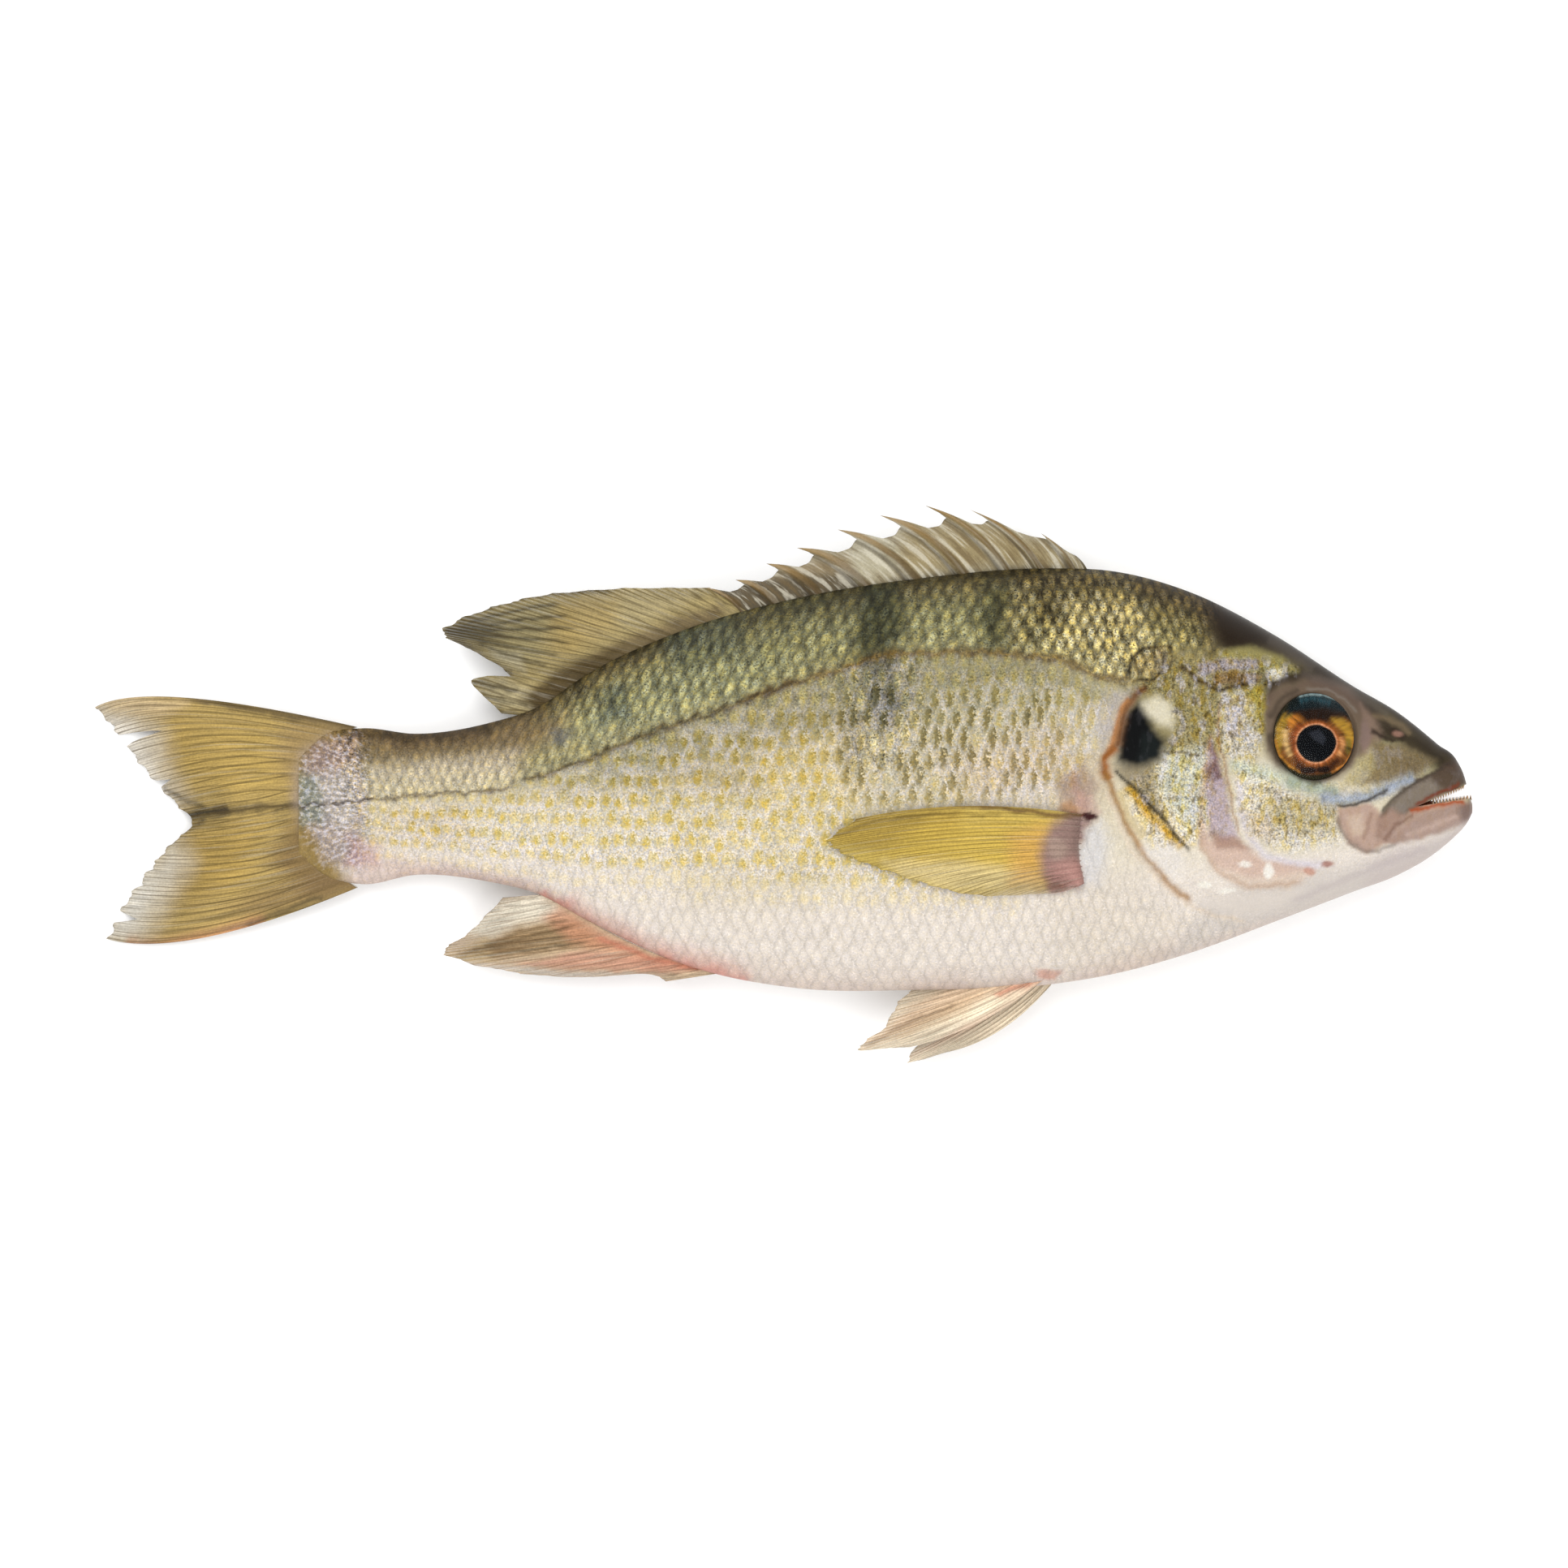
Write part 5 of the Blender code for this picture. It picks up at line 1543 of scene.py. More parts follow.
def soft_fin(name, curves, rays, rows, height, marks, ground, torn=()):
    """A fin of soft rays. The height function gives its middle surface."""
    ray = np.linspace(0, rays - 1, (rays - 1) * COLUMNS_PER_RAY + 1)
    share = ray / (rays - 1)
    feet, tips = curve_points(curves["feet"], share), curve_points(curves["tips"], share)
    bends = curve_points(curves["bends"], share) if "bends" in curves else (feet + tips) / 2
    reach = 1 - SCALLOP * np.abs(np.sin(math.pi * ray)) - FRAY * np.random.default_rng(rays).random(len(ray))
    for place, torn_reach, half in torn:
        reach = np.minimum(reach, torn_reach + (1 - torn_reach) * np.abs(ray - place) / half)
    t = np.linspace(FOOT_DEPTH, 1.0, rows)[:, None] * reach[None, :]
    ray = np.broadcast_to(ray, t.shape)
    points = bent(feet, bends, tips, t)
    ridge_shape = np.exp(-((branch_distance(ray, t) / RAY_WIDTH) ** 2))
    along = np.clip(t, 0, 1)
    thickness = WEB_FOOT - WEB_THINS * along + ridge_shape * (RAY_FOOT - RAY_THINS * along)
    middle = np.dstack((points, height(points[..., 0], points[..., 1], t)))
    piece = thin_solid(name, middle, thickness)
    keep_fin(piece, ray, t, marks, ground)
    return piece


def hanging(x, y, t):
    """Middle surface of a fin on the plane of symmetry, which sags towards its tip and waves a little."""
    along = np.clip(t, 0.0, 1.0)
    wave = WAVE * along * cloud(x, y, WAVE_SIZE, 21)
    return mid_plane(x) - FIN_SAG * along**2 * ramp(x, *SAG_FROM) + wave


print("a tail fin of 17 rays has", 16 * COLUMNS_PER_RAY + 1, "columns")

# %% [markdown]
# ## Tail fin
# The tail fin is golden olive with a pale torn margin and a dark streak to its fork.

# %% Tail fin
TAIL_MARKS = (
    area("#a08656", 0.85, 40, 480, 880, 360, 885, 330, 930, 366, 990, 440, 985),
    area("#b89a52", 0.7, 40, 330, 895, 200, 885, 190, 940, 290, 980, 350, 970),
    area("#7f6640", 0.85, 40, 480, 1000, 360, 1010, 330, 1060, 380, 1105, 440, 1095),
    area("#b0924c", 0.8, 40, 330, 1010, 240, 1025, 200, 1080, 220, 1110, 300, 1090),
    area("#7d6444", 0.55, 26, 440, 1070, 340, 1090, 270, 1120, 340, 1128, 440, 1098),
    area("#e4dac8", 0.9, 56, 112, 858, 128, 905, 160, 962, 205, 1000, 222, 985, 205, 945, 196, 905,
        170, 880),
    area("#ece6dc", 0.7, 30, 118, 880, 150, 935, 190, 985, 203, 978, 176, 935, 156, 895),
    area("#e6decd", 0.9, 56, 212, 1036, 150, 1100, 128, 1160, 172, 1160, 205, 1110, 232, 1062),
    area("#ece7dc", 0.65, 30, 184, 1068, 146, 1120, 134, 1156, 158, 1150, 185, 1100),
    area("#dfc598", 0.8, 24, 108, 866, 150, 852, 230, 866, 200, 882, 150, 878),
    line("#211c12", 0.92, 15, 285, 997, 255, 1003, 228, 1006, 212, 1005),
    line("#4c3f28", 0.75, 12, 390, 991, 340, 993, 300, 996, 262, 1001),
    line("#463c28", 0.65, 7, 256, 997, 226, 986, 200, 970),
    line("#463c28", 0.65, 7, 256, 1010, 222, 1026, 196, 1048),
    line("#52432a", 0.8, 13, 495, 904, 424, 893, 357, 881, 286, 868, 223, 856),
    line("#8a7450", 0.5, 8, 260, 862, 200, 854, 150, 856, 118, 868),
    line("#bd8660", 0.8, 20, 330, 1134, 300, 1144, 258, 1156, 214, 1164, 172, 1168, 150, 1164),
    line("#3a3222", 0.55, 8, 300, 1144, 340, 1126, 400, 1104),
    area("#ab9b90", 0.85, 34, 460, 910, 460, 1070, 400, 1066, 376, 1020, 364, 980, 374, 930, 402, 910),
)
tail_fin = soft_fin("tail_fin", TAIL_FIN, 17, 70, hanging, TAIL_MARKS, "#b1975a", TORN_TAIL)
print(tail_fin.name, len(tail_fin.data.polygons), "faces")

# %% [markdown]
# ## Soft back fin
# It is golden with dark rays and a dark tip, and a small last lobe stands behind a gap.

# %% Soft back fin
BACK_MARKS = (
    area("#756444", 0.92, 18, 890, 745, 885, 778, 800, 808, 730, 836, 665, 886, 642, 862, 690, 828, 760, 792,
        830, 762),
    area("#b5a67c", 0.6, 24, 868, 728, 760, 728, 700, 745, 720, 790, 800, 765),
    area("#a88f54", 0.6, 30, 760, 735, 690, 740, 660, 790, 700, 810, 760, 775),
    area("#938861", 0.75, 30, 680, 738, 600, 752, 570, 785, 610, 815, 660, 815, 680, 780),
    area("#c4bda2", 0.5, 14, 600, 798, 640, 806, 648, 826, 612, 814),
    area("#2a261b", 0.5, 22, 545, 779, 580, 758, 612, 762, 620, 784, 590, 796, 566, 790),
    line("#2e2819", 0.75, 5, 690, 742, 615, 757, 545, 778),
    line("#2e2819", 0.75, 5, 700, 757, 622, 766, 546, 779),
    line("#2e2819", 0.75, 5, 710, 774, 626, 775, 547, 779),
    line("#2e2819", 0.7, 5, 704, 791, 626, 785, 552, 780),
    line("#2e2819", 0.65, 5, 690, 808, 622, 795, 562, 783),
    line("#3b3322", 0.6, 5, 676, 822, 630, 808, 586, 792),
    line("#4b422c", 0.75, 8, 760, 727, 700, 729, 652, 733, 616, 741, 580, 756, 548, 779),
    line("#4b4230", 0.7, 9, 548, 779, 576, 796, 600, 816, 634, 832),
    area("#b5a882", 0.75, 16, 580, 837, 620, 836, 656, 850, 656, 875, 610, 872),
    line("#3b3526", 0.75, 8, 580, 838, 600, 842, 640, 852),
    line("#3b3526", 0.5, 6, 592, 856, 620, 862, 650, 868),
    area("#4f4020", 0.9, 20, 770, 796, 740, 830, 665, 884, 642, 862, 690, 822),
    line("#554628", 0.7, 14, 880, 770, 800, 799, 734, 826, 689, 853, 656, 877),
)
back_fin = soft_fin("back_fin_soft", BACK_FIN, 15, 44, hanging, BACK_MARKS, "#a08f60", TORN_BACK)
print(back_fin.name, len(back_fin.data.polygons), "faces")

# %% [markdown]
# ## Vent fin
# It is white, brown and pink, with a few dark lines along its rays.

# %% Vent fin
VENT_MARKS = (
    area("#e3dac6", 0.9, 24, 665, 1098, 625, 1105, 590, 1124, 572, 1150, 600, 1156, 650, 1140, 690, 1122),
    area("#a08258", 0.8, 18, 710, 1134, 640, 1142, 590, 1162, 570, 1174, 610, 1182, 680, 1172, 750, 1165),
    area("#cdb486", 0.8, 16, 600, 1158, 556, 1176, 570, 1186, 610, 1184),
    area("#c98a6a", 0.65, 18, 690, 1115, 740, 1146, 800, 1176, 860, 1192, 800, 1190, 700, 1160, 670, 1130),
    area("#c98670", 0.6, 12, 720, 1170, 800, 1182, 860, 1192, 820, 1200, 700, 1194, 640, 1188),
    area("#d6ccc0", 0.8, 9, 560, 1184, 620, 1196, 700, 1204, 780, 1200, 700, 1197, 600, 1189),
    line("#c06a52", 0.6, 8, 868, 1194, 801, 1180, 734, 1152),
    line("#5e4a30", 0.6, 7, 560, 1176, 620, 1166, 700, 1152),
    line("#4e3c22", 0.65, 5, 572, 1172, 640, 1158, 704, 1141),
    line("#4e3c22", 0.6, 5, 582, 1178, 650, 1170, 724, 1160),
    line("#5c4628", 0.55, 5, 596, 1164, 650, 1147, 700, 1132),
    spot("#b0453c", 0.8, 6, 918, 1211, 10, 6),
)
vent_fin = soft_fin("vent_fin", VENT_FIN, 11, 44, hanging, VENT_MARKS, "#cbb394")
print(vent_fin.name, len(vent_fin.data.polygons), "faces")

# %% [markdown]
# ## Breast and belly fins
# The breast fin lies back along the flank, from a fleshy foot just behind the gill cover. It lifts off the
# flank a little, so its lower surface stays clear of the scales. The left one is pressed flat underneath.
# The two belly fins fold back below the fish.

# %% Marks and heights of the paired fins
BREAST_MARKS = (
    area("#b5963f", 0.7, 22, 1010, 1034, 1060, 1005, 1130, 994, 1190, 996, 1180, 1024, 1080, 1050),
    area("#d0b04c", 0.7, 26, 1140, 1010, 1290, 1010, 1280, 1085, 1150, 1075, 1090, 1050),
    area("#ecd699", 0.8, 22, 1090, 1062, 1180, 1062, 1290, 1075, 1285, 1096, 1180, 1100, 1110, 1080),
    area("#dba658", 0.65, 34, 1246, 1030, 1300, 1012, 1300, 1094, 1246, 1090),
    area("#937672", 0.95, 20, 1316, 1000, 1296, 1018, 1283, 1042, 1281, 1060, 1287, 1080, 1296, 1104,
        1360, 1104, 1360, 1000),
    area("#c08e84", 0.8, 22, 1288, 1066, 1350, 1054, 1350, 1104, 1296, 1104),
    spot("#b8a08f", 0.5, 12, 1302, 1046, 12, 12),
    line("#694a26", 0.85, 8, 1345, 1004, 1301, 1005, 1255, 998, 1191, 991, 1127, 993, 1076, 1000,
        1038, 1014),
    line("#6a541f", 0.45, 6, 1240, 1004, 1150, 1003, 1080, 1012, 1020, 1034),
    spot("#7c5242", 0.85, 6, 1304, 1094, 13, 6),
)
BELLY_MARKS = (
    area("#f2e0c6", 0.85, 24, 1250, 1195, 1115, 1195, 1120, 1215, 1200, 1215),
    area("#e6b58a", 0.45, 18, 1285, 1195, 1200, 1205, 1130, 1232, 1090, 1270, 1062, 1292, 1100, 1275,
        1200, 1235, 1280, 1200),
    area("#c79c68", 0.35, 16, 1210, 1222, 1140, 1250, 1075, 1288, 1110, 1280, 1190, 1248),
    area("#efe0c6", 0.6, 16, 1180, 1258, 1120, 1284, 1110, 1306, 1160, 1296, 1250, 1240),
    area("#e0b49a", 0.45, 12, 1290, 1205, 1240, 1240, 1180, 1282, 1120, 1304, 1160, 1280, 1260, 1222),
    line("#c67a5e", 0.75, 10, 1300, 1196, 1262, 1214, 1225, 1226),
    spot("#b06050", 0.9, 10, 1288, 1198, 20, 9),
    line("#7d6240", 0.5, 6, 1180, 1236, 1120, 1260, 1066, 1292),
)
BREAST_FIN_LIFT = {1: (-1.5, 1.7), -1: (-1.5, -0.15)}  # over the flank in mm, at the foot and further out
LIFT_SHARES = (-0.03, 0.17)
BELLY_FIN_FOOT = 3.8
BELLY_FIN_DROP, BELLY_FIN_SPREAD, BELLY_FIN_BEND = 2.0, 2.2, 3.0  # mm


def breast_fin_height(side):
    """Just over the flank of the given side, and sunk into it at the foot."""
    foot_lift, tip_lift = BREAST_FIN_LIFT[side]

    def height(x, y, t):
        lift = foot_lift + (tip_lift - foot_lift) * ramp(t, *LIFT_SHARES)
        return mid_plane(x) + side * (flank(x, y) + lift)

    return height


def belly_fin_height(side):
    """From a foot beside the plane of symmetry down towards the table."""

    def height(x, y, t):
        along = np.clip(t, 0.0, 1.0)
        drop = BELLY_FIN_DROP + BELLY_FIN_SPREAD * side + BELLY_FIN_BEND * along
        return mid_plane(x) + side * BELLY_FIN_FOOT - drop * along

    return height


paired = [
    soft_fin("breast_fin_right", BREAST_FIN, 13, 60, breast_fin_height(1), BREAST_MARKS, "#cdb25a"),
    soft_fin("breast_fin_left", BREAST_FIN, 13, 60, breast_fin_height(-1), BREAST_MARKS, "#cdb25a"),
    soft_fin("belly_fin_right", BELLY_FIN_UPPER, 6, 50, belly_fin_height(1), BELLY_MARKS, "#f8e6c8"),
    soft_fin("belly_fin_left", BELLY_FIN_LOWER, 6, 50, belly_fin_height(-1), BELLY_MARKS, "#f8e6c8"),
]
for piece in paired:
    print(piece.name, len(piece.data.polygons), "faces")

# %% [markdown]
# ## The spiny back fin
# Ten sharp spines hold the front part of the back fin. Behind each spine the web is torn down to a notch and
# then climbs to the tip of the next one. The spine is a narrow thick ridge, and the web between is thin.

# %% Spiny fin
COLUMNS_PER_SPINE = 20
SPINY_ROWS = 36
SPINE_BEND = 0.17
SPINE_SUNK = 0.8  # mm
SPINE_FROM = -0.12
SPINE_WIDTH = 0.085
SPINY_WEB, SPINE_FOOT, SPINE_THINS = 0.16, 0.62, 0.4  # half thicknesses in mm
# The notch behind each spine, and how steeply the web climbs to the next and falls from the last.
NOTCH, NOTCH_DEEPER, CLIMB, FALL = 0.75, 0.1, 1.25, 3.2
SPINY_MARKS = (
    area("#b9b196", 0.8, 24, 1120, 632, 1080, 640, 1040, 650, 1040, 715, 1110, 705),
    area("#9c8b62", 0.85, 24, 1290, 690, 1240, 650, 1190, 630, 1110, 628, 1110, 705, 1225, 695),
    area("#96855c", 0.6, 18, 1320, 700, 1290, 665, 1250, 670, 1240, 690, 1270, 700),
    area("#958260", 0.8, 16, 1046, 680, 980, 695, 900, 722, 860, 732, 880, 752, 979, 738, 1050, 722),
    area("#4c412c", 0.85, 16, 1050, 705, 950, 712, 870, 724, 870, 762, 979, 742, 1060, 724),
    line("#453c28", 0.8, 14, 1330, 700, 1225, 708, 1136, 715, 1046, 730, 979, 742, 912, 756, 860, 765),
)


def spiny_fin():
    table = np.array(SPINES)
    spine = np.linspace(0, len(SPINES) - 1, (len(SPINES) - 1) * COLUMNS_PER_SPINE + 1)
    feet_x, tips_x, tips_y = (np.interp(spine, np.arange(len(SPINES)), table[:, i]) for i in range(3))
    share = spine - np.floor(spine)
    notch = NOTCH - NOTCH_DEEPER * ramp(share, 0.05, 0.5)
    reach = np.maximum(notch, 1 - CLIMB * (1 - share))
    reach = np.maximum(reach, 1 - FALL * share)
    feet = np.column_stack((feet_x, outline(feet_x)[0] - SPINE_SUNK))
    tips = np.column_stack((tips_x, tips_y))
    bends = (feet + tips) / 2 + SPINE_BEND * (tips - feet)[:, ::-1] * (1, -1)
    t = np.linspace(SPINE_FROM, 1.0, SPINY_ROWS)[:, None] * reach[None, :]
    points = bent(feet, bends, tips, t)
    along = np.clip(t, 0, 1)
    near_spine = np.exp(-(((spine - np.round(spine)) / SPINE_WIDTH) ** 2))
    thickness = SPINY_WEB + near_spine * (SPINE_FOOT - SPINE_THINS * along)
    middle = np.dstack((points, hanging(points[..., 0], points[..., 1], t)))
    piece = thin_solid("back_fin_spiny", middle, thickness)
    keep_fin(piece, np.broadcast_to(spine, t.shape), t, SPINY_MARKS, "#a39778")
    return piece


spiny = spiny_fin()
print(spiny.name, len(spiny.data.polygons), "faces")

# %% [markdown]
# ## The fins' materials
# The same branching formula as in the mesh draws each ray as a fine dark line, which streaky noise breaks up.
# Between the rays the web lets light through, more so near the margin, and the lower part of the breast fin
# is faint. The spiny fin's web is streaked, and its spines are a golden bone colour with a dark rear edge.

# %% Materials of the fins
NO_FAINT_RAYS = (20.0, 21.0)  # past the last ray of every fin


def webbed_material(name, ray_colour, darkness, clear, bare_foot, faint_rays=NO_FAINT_RAYS):
    """A soft fin: dark branching rays over the paint, and a web that is partly clear towards the tips."""
    material, tree, surface = new_material(name)
    ray, t, _ = parts(tree, stored(tree, "ray_place", "Vector"))
    first = abs(ray - ray.math("ROUND"))
    second = abs(first - t.step(*FIRST_BRANCH) * 0.25)
    branch = abs(second - t.step(*SECOND_BRANCH) * 0.125)
    speck = noise(tree, 0.4, 2.0)
    streak = noise(tree, 1.0, 3.0, combined(tree, ray * 5.0, t * 1.6))
    thread = noise(tree, 1.0, 2.0, combined(tree, ray * 16.0, t * 3.5))
    bone = (branch + swing(thread) * 0.05).step(0.08, 0.01)
    bare = t.step(bare_foot, bare_foot + 0.2)
    striped = swing(streak) * 1.2 + swing(thread) * 1.7
    shade = brightened(tree, stored(tree, "paint"), striped * bare + 1.0)
    shade = mixed(tree, bone * bare * streak.step(0.25, 0.65) * darkness, shade, ray_colour)
    shade = mixed(tree, streak.step(0.45, 0.3) * 0.2, shade, "#f2e6cc")
    shade = brightened(tree, shade, swing(speck) * 0.7 + 1.0)
    plug(shade, surface["Base Color"])
    web = branch.step(0.03, 0.1)
    solid = 1.0 - web * t.step(0.45, 1.0) * clear - ray.step(*faint_rays) * bare * 0.65
    plug(solid * t.step(0.0, bare_foot * 0.7 + 0.01), surface["Alpha"])
    plug(bumped(tree, bone * 0.6 + thread * 0.4, 0.1), surface["Normal"])
    plug(streak * 0.3 + 0.35, surface["Roughness"])
    surface["Specular IOR Level"].default_value = 0.12
    return material


def spiny_material():
    """Golden spines with a dark rear edge, and a web with pale and brown streaks."""
    material, tree, surface = new_material("spiny_web")
    spine, t, _ = parts(tree, stored(tree, "ray_place", "Vector"))
    offset = spine - spine.math("ROUND")
    speck = noise(tree, 0.4, 3.0)
    streak = noise(tree, 1.0, 4.0, combined(tree, spine * 6.0, t * 1.6))
    bone = abs(offset + 0.05).step(0.14, 0.04)
    rear = abs(offset - 0.16).step(0.12, 0.0) * (1.0 - t * 0.3)
    shade = mixed(tree, streak.step(0.48, 0.60) * 0.55, stored(tree, "paint"), "#e6dfca")
    shade = mixed(tree, streak.step(0.47, 0.36) * 0.65, shade, "#6e5a38")
    shade = mixed(tree, rear * 0.7, shade, "#40372a")
    shade = mixed(tree, bone * 0.75, shade, mixed(tree, t.step(0.1, 0.9), "#5e4b2c", "#94743f"))
    shade = brightened(tree, shade, swing(speck) * 0.6 + 1.0)
    plug(shade, surface["Base Color"])
    plug(1.0 - (1.0 - bone) * (1.0 - rear) * t.step(0.2, 0.8) * 0.25, surface["Alpha"])
    plug(bumped(tree, bone + streak * 0.3, 0.15), surface["Normal"])
    plug(speck * 0.3 + 0.3, surface["Roughness"])
    surface["Specular IOR Level"].default_value = 0.12
    return material


golden_web = webbed_material("golden_web", "#4a3a1c", 0.70, 0.35, 0.0)
yellow_web = webbed_material("yellow_web", "#5a4314", 0.60, 0.2, 0.14, faint_rays=(7.0, 12.0))
pale_web = webbed_material("pale_web", "#6b4a28", 0.50, 0.40, 0.04)
for piece in (tail_fin, back_fin):
    dress(piece, golden_web)
for piece in paired[:2]:
    dress(piece, yellow_web)
for piece in (vent_fin, paired[2], paired[3]):
    dress(piece, pale_web)
dress(spiny, spiny_material())
print(len(golden_web.node_tree.nodes), "nodes in the golden web")

# %% [markdown]
# ## Eyes
# The eye is a low glossy dome: a black pupil that comes to a slight point in front, a thin orange ring, a
# gold-brown iris, and a dark teal cap of skin showing above it. The pupil's marks are laid last. Pale lines
# on the iris and the cap are painted highlights, and a grey-blue patch in the pupil is a painted reflection.

# %% Marks of the eye
EYE = (107.35, 9.5)  # mm
EYE_RINGS, EYE_SPOKES = 84, 180
EYE_BULGE, EYE_SUNK = 2.0, 0.35  # the dome's height and how deep its edge lies under the flank, in mm
PUPIL_MIDDLE, PUPIL_RADIUS, PUPIL_POINT = (1621, 916), 23.5, 2.5  # pixels
PUPIL = tuple(
    (
        PUPIL_MIDDLE[0] + PUPIL_RADIUS * math.cos(a) + PUPIL_POINT * math.exp(-2 * (a + 0.15) ** 2),
        PUPIL_MIDDLE[1] + PUPIL_RADIUS * math.sin(a),
    )
    for a in np.linspace(-math.pi, math.pi, 32, endpoint=False)
)
EYE_MARKS = (
    spot("#2b2716", 1.0, 5, 1620, 907, 51, 55),
    spot("#7a4a1e", 1.0, 5, 1620, 909, 48, 45),
    area("#a8842a", 0.95, 6, 1571, 920, 1572, 896, 1581, 880, 1592, 874, 1592, 884, 1584, 897, 1581, 916,
        1577, 928),
    area("#c27a2c", 0.85, 7, 1586, 886, 1602, 877, 1608, 884, 1597, 892, 1589, 902),
    # painted highlight on the left of the iris
    line("#d8b070", 0.9, 8, 1584, 898, 1584, 915, 1591, 932),
    line("#7a3a18", 0.8, 10, 1603, 890, 1594, 908, 1595, 925, 1603, 938),
    area("#b98e30", 0.9, 7, 1638, 884, 1652, 882, 1663, 892, 1669, 908, 1667, 922, 1660, 918, 1656, 902,
        1646, 893),
    spot("#6f6a2a", 0.6, 6, 1661, 920, 4, 10),
    # painted highlight on the right of the iris
    line("#d3935a", 0.85, 7, 1651, 908, 1655, 918, 1649, 932),
    line("#d88a3e", 0.85, 3.5, 1669, 910, 1667, 926, 1656, 943, 1640, 952),
    line("#c48430", 0.8, 3.5, 1571, 910, 1576, 930, 1590, 945, 1604, 952),
    area("#3a1a0c", 0.94, 10, 1596, 934, 1610, 944, 1632, 944, 1649, 931, 1654, 938, 1640, 950, 1612, 954,
        1596, 947),
    spot("#150b08", 0.9, 4, 1612, 949, 10, 4),
    spot("#150b08", 0.9, 4, 1631, 948, 8, 4),
    area("#170d08", 0.96, 10, 1590, 874, 1600, 866, 1650, 866, 1667, 882, 1654, 885, 1641, 884, 1634, 893,
        1622, 889, 1609, 889, 1602, 883),
    area("#101e22", 0.98, 8, 1583, 884, 1588, 868, 1597, 857, 1612, 852, 1630, 852, 1651, 859, 1667, 878,
        1650, 876, 1630, 872, 1600, 875),
    line("#24424a", 0.85, 7, 1600, 864, 1618, 860, 1640, 866),
    # painted highlight along the dark cap over the eye
    line("#8ba0a0", 0.85, 3, 1599, 858, 1616, 855, 1632, 857, 1646, 862),
    spot("#0b110f", 0.8, 5, 1594, 866, 6, 7),
    line("#24240f", 0.85, 7, 1588, 953, 1606, 960, 1625, 962, 1643, 957),
    line("#b8602c", 0.8, 8, *PUPIL, PUPIL[0]),
    line("#f2ae80", 0.9, 3, *PUPIL, PUPIL[0]),
    area("#06070b", 1.0, 2.5, *PUPIL),
    # painted reflection: a grey-blue patch in the pupil
    area("#3a3d46", 0.45, 4, 1612, 903, 1626, 899, 1634, 910, 1630, 918, 1620, 912),
)
print(len(EYE_MARKS), "marks on the eye")

# %% [markdown]
# ## Eyeballs and corneas
# The ball is a polar grid with a low domed profile, painted with the same brushes. A clear dome of cornea
# lies over it. Both follow the curve of the flank.

# %% Eyeballs
def eye_dome(name, side, rise):
    """A low dome over the flank: rings round the eye's middle."""
    out = np.linspace(0.0, 1.0, EYE_RINGS)[:, None]
    turn = np.linspace(0.0, 2 * math.pi, EYE_SPOKES, endpoint=False)[None, :]
    x = EYE[0] + EYE_RADII[0] * PIXEL * out * np.cos(turn)
    y = EYE[1] + EYE_RADII[1] * PIXEL * out * np.sin(turn)
    z = mid_plane(x) + side * (flank(x, y) + EYE_BULGE * (1 - out**2) - EYE_SUNK + rise)
    points = np.stack((x, y, z), axis=-1)
    faces = grid_faces(EYE_RINGS, EYE_SPOKES, closed=True)
    return mesh_piece(name, points, (faces if side > 0 else faces[:, ::-1]).tolist())


def eye_materials():
    """The painted ball with fine fibres, and the clear cornea over it."""
    ball, tree, surface = new_material("eyeball")
    fibre = noise(tree, 1.0, 4.0, stored(tree, "iris_place", "Vector"))
    plug(brightened(tree, stored(tree, "paint"), swing(fibre) * 2.4 + 1.0), surface["Base Color"])
    plug(bumped(tree, fibre, 0.05), surface["Normal"])
    surface["Roughness"].default_value = 0.3
    surface["Specular IOR Level"].default_value = 0.04
    clear, tree, surface = new_material("cornea")
    haze = noise(tree, 3.0, 2.0)
    plug(mixed(tree, haze, "#20282a", "#3a4244"), surface["Base Color"])
    surface["Alpha"].default_value = 0.05
    surface["Roughness"].default_value = 0.03
    surface["Coat Weight"].default_value = 0.35
    surface["Coat Roughness"].default_value = 0.02
    return ball, clear


CORNEA_GAP = 0.15  # mm
EYE_WOBBLE = 0.4  # pixels
IRIS_TURNS, IRIS_RINGS = 9, 3

eyeball, cornea = eye_materials()
for side, flank_name in ((1, "right"), (-1, "left")):
    ball = eye_dome("eyeball_" + flank_name, side, 0.0)
    px, py = seen_at(points_of(ball))
    socket_colour = np.tile(tint("#3b3a2a"), (len(px), 1))
    keep_colour(ball, "paint", lay_marks(EYE_MARKS, px, py, socket_colour, EYE_WOBBLE))
    turn = np.tile(np.linspace(0.0, 2 * math.pi, EYE_SPOKES, endpoint=False), EYE_RINGS)
    out = np.repeat(np.linspace(0.0, 1.0, EYE_RINGS), EYE_SPOKES)
    fan = np.column_stack((IRIS_TURNS * np.cos(turn), IRIS_TURNS * np.sin(turn), IRIS_RINGS * out))
    keep_place(ball, "iris_place", fan)
    dress(ball, eyeball)
    dress(eye_dome("cornea_" + flank_name, side, CORNEA_GAP), cornea)
    print("eye on the", flank_name, "side:", len(ball.data.polygons), "faces")

# %% [markdown]
# ## Inside the mouth
# Behind the gap the mouth is orange-red. One flattened ball of flesh fills the space between the jaws, and a
# row of tiny cone teeth stands on each jaw. The flesh is one mesh and the teeth another, placed by a loop.

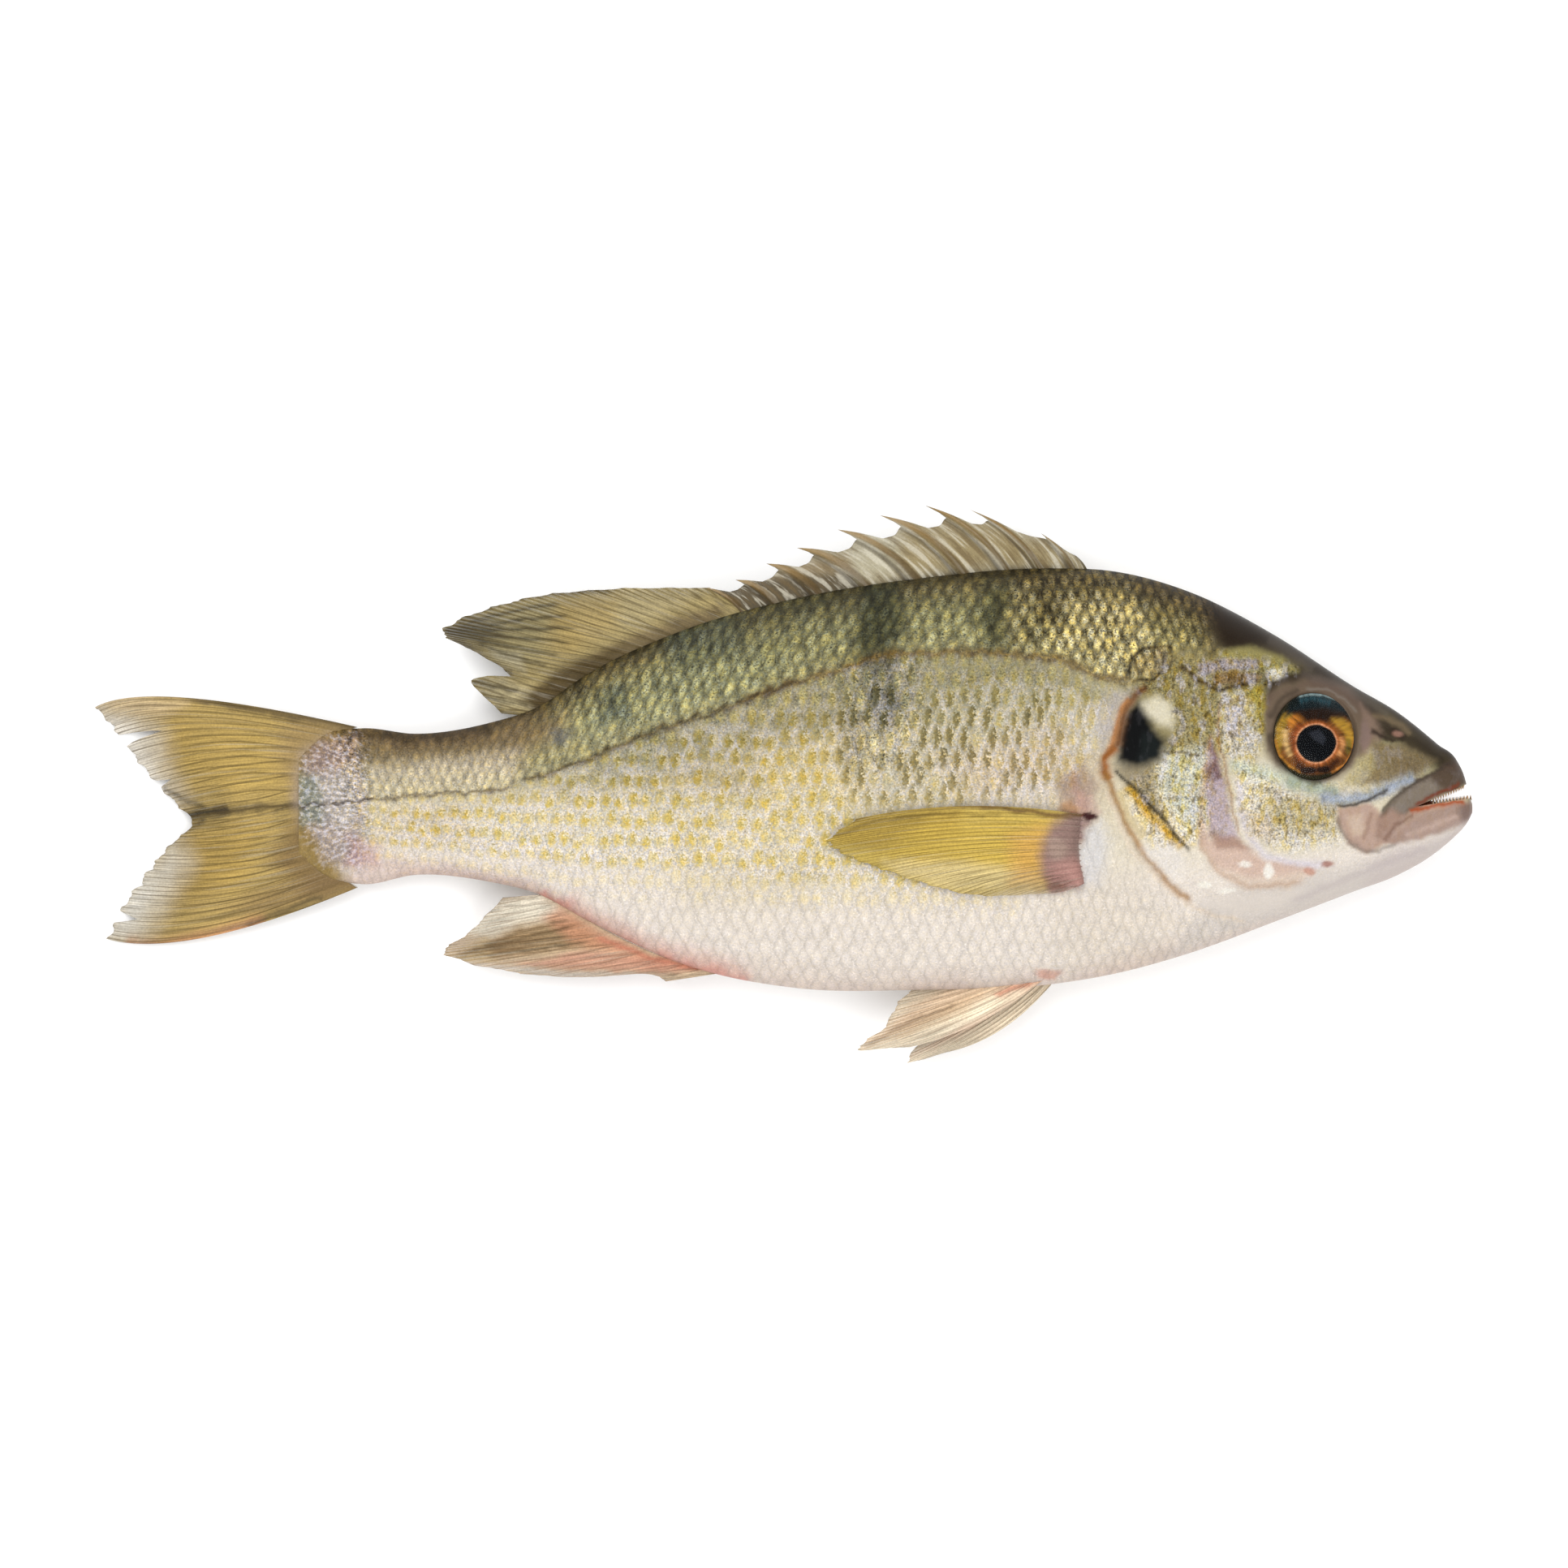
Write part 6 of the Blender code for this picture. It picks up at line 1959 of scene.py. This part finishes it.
# %% Lining and teeth
LINING = ((127.0, -5.4, REST_HEIGHT), (7.6, 2.3, 4.6))  # centre and radii
TEETH_PER_JAW = 13
UPPER_TEETH, LOWER_TEETH = (0.26, 0.74), (0.26, 0.86)  # shares of the gap's length
TOOTH = (0.3, 1.1)  # radius and height in mm
TOOTH_TIP, TOOTH_SIDES, TOOTH_SUNK, TOOTH_IN = 0.03, 8, 0.2, 0.8


def piece_from(bm, name):
    """A mesh object from a finished bmesh, which is freed."""
    mesh = bpy.data.meshes.new(name)
    bm.to_mesh(mesh)
    bm.free()
    piece = bpy.data.objects.new(name, mesh)
    scene.collection.objects.link(piece)
    return piece


def mouth_lining():
    bm = bmesh.new()
    bmesh.ops.create_uvsphere(bm, u_segments=48, v_segments=24, radius=1.0)
    centre, radii = LINING
    for vertex in bm.verts:
        vertex.co = [
            (middle + radius * place) * MM for middle, radius, place in zip(centre, radii, vertex.co)
        ]
    piece = piece_from(bm, "mouth_lining")
    piece.data.shade_smooth()
    material, tree, surface = new_material("mouth_flesh")
    plug(mixed(tree, noise(tree, 1.5, 3.0), "#7c2a18", "#c4693c"), surface["Base Color"])
    plug(bumped(tree, noise(tree, 0.6, 2.0), 0.1), surface["Normal"])
    surface["Roughness"].default_value = 0.25
    dress(piece, material)


def teeth():
    bm = bmesh.new()
    for jaw, (first, last), points_up in ((MOUTH_UPPER, UPPER_TEETH, -1), (MOUTH_LOWER, LOWER_TEETH, 1)):
        for share in np.linspace(first, last, TEETH_PER_JAW):
            x = MOUTH_CORNER[0] + share * (jaw[0] - MOUTH_CORNER[0])
            y = MOUTH_CORNER[1] + share * (jaw[1] - MOUTH_CORNER[1])
            for side in (-1, 1):
                z = REST_HEIGHT + side * float(flank(np.array(x), np.array(y))) * TOOTH_IN
                made = bmesh.ops.create_cone(
                    bm, cap_ends=True, segments=TOOTH_SIDES,
                    radius1=TOOTH[0], radius2=TOOTH_TIP, depth=TOOTH[1],
                )
                for vertex in made["verts"]:
                    a, b, c = vertex.co
                    vertex.co = ((x + a) * MM, (y + points_up * (c + TOOTH_SUNK)) * MM, (z + b) * MM)
    bmesh.ops.recalc_face_normals(bm, faces=bm.faces)
    piece = piece_from(bm, "teeth")
    material, tree, surface = new_material("tooth")
    plug(mixed(tree, noise(tree, 0.6), "#a8622e", "#e8d4ae"), surface["Base Color"])
    surface["Roughness"].default_value = 0.2
    dress(piece, material)


mouth_lining()
teeth()
print(4 * TEETH_PER_JAW, "teeth")

# %% [markdown]
# ## Table and light
# The table is a plain pale sheet. One large soft light above and a little behind the back gives the wet skin
# its broad shine, a weaker one fills from the belly side, and an even pale sky keeps the shadows thin.

# %% Table, lights and sky
TABLE_GREY, TABLE_WHITE = (0.94, 0.94, 0.94, 1.0), (0.96, 0.96, 0.96, 1.0)
TABLE_CLOUDS = 400.0  # mm
TABLE_HALF, TABLE_GAP = 2.5, 0.0002  # metres
LAMP_SIZE = 1.2
KEY_PLACE, KEY_POWER = (-0.3, 0.6, 1.7), 17.0
FILL_PLACE, FILL_POWER = (0.5, -0.8, 1.5), 9.5
SKY_STRENGTH = 1.05


def table():
    """A pale sheet under the fish, which is not part of the fish."""
    material, tree, surface = new_material("pale_table")
    plug(mixed(tree, noise(tree, TABLE_CLOUDS, 1.0), TABLE_GREY, TABLE_WHITE), surface["Base Color"])
    surface["Roughness"].default_value = 0.9
    bm = bmesh.new()
    bmesh.ops.create_grid(bm, x_segments=1, y_segments=1, size=TABLE_HALF)
    sheet = piece_from(bm, "table")
    sheet.location.z = -TABLE_GAP
    sheet.data.materials.append(material)


def soft_light(name, place, power):
    data = bpy.data.lights.new(name, "AREA")
    data.shape = "DISK"
    data.size = LAMP_SIZE
    data.energy = power
    lamp = bpy.data.objects.new(name, data)
    lamp.location = place
    scene.collection.objects.link(lamp)
    aim = -lamp.location
    lamp.rotation_euler = aim.to_track_quat("-Z", "Y").to_euler()


table()
soft_light("key_light", KEY_PLACE, KEY_POWER)
soft_light("fill_light", FILL_PLACE, FILL_POWER)
world = bpy.data.worlds.new("pale_sky")
world.use_nodes = True
world.node_tree.nodes["Background"].inputs["Color"].default_value = (1.0, 1.0, 1.0, 1.0)
world.node_tree.nodes["Background"].inputs["Strength"].default_value = SKY_STRENGTH
scene.world = world
print("lamps of", KEY_POWER, "and", FILL_POWER, "W")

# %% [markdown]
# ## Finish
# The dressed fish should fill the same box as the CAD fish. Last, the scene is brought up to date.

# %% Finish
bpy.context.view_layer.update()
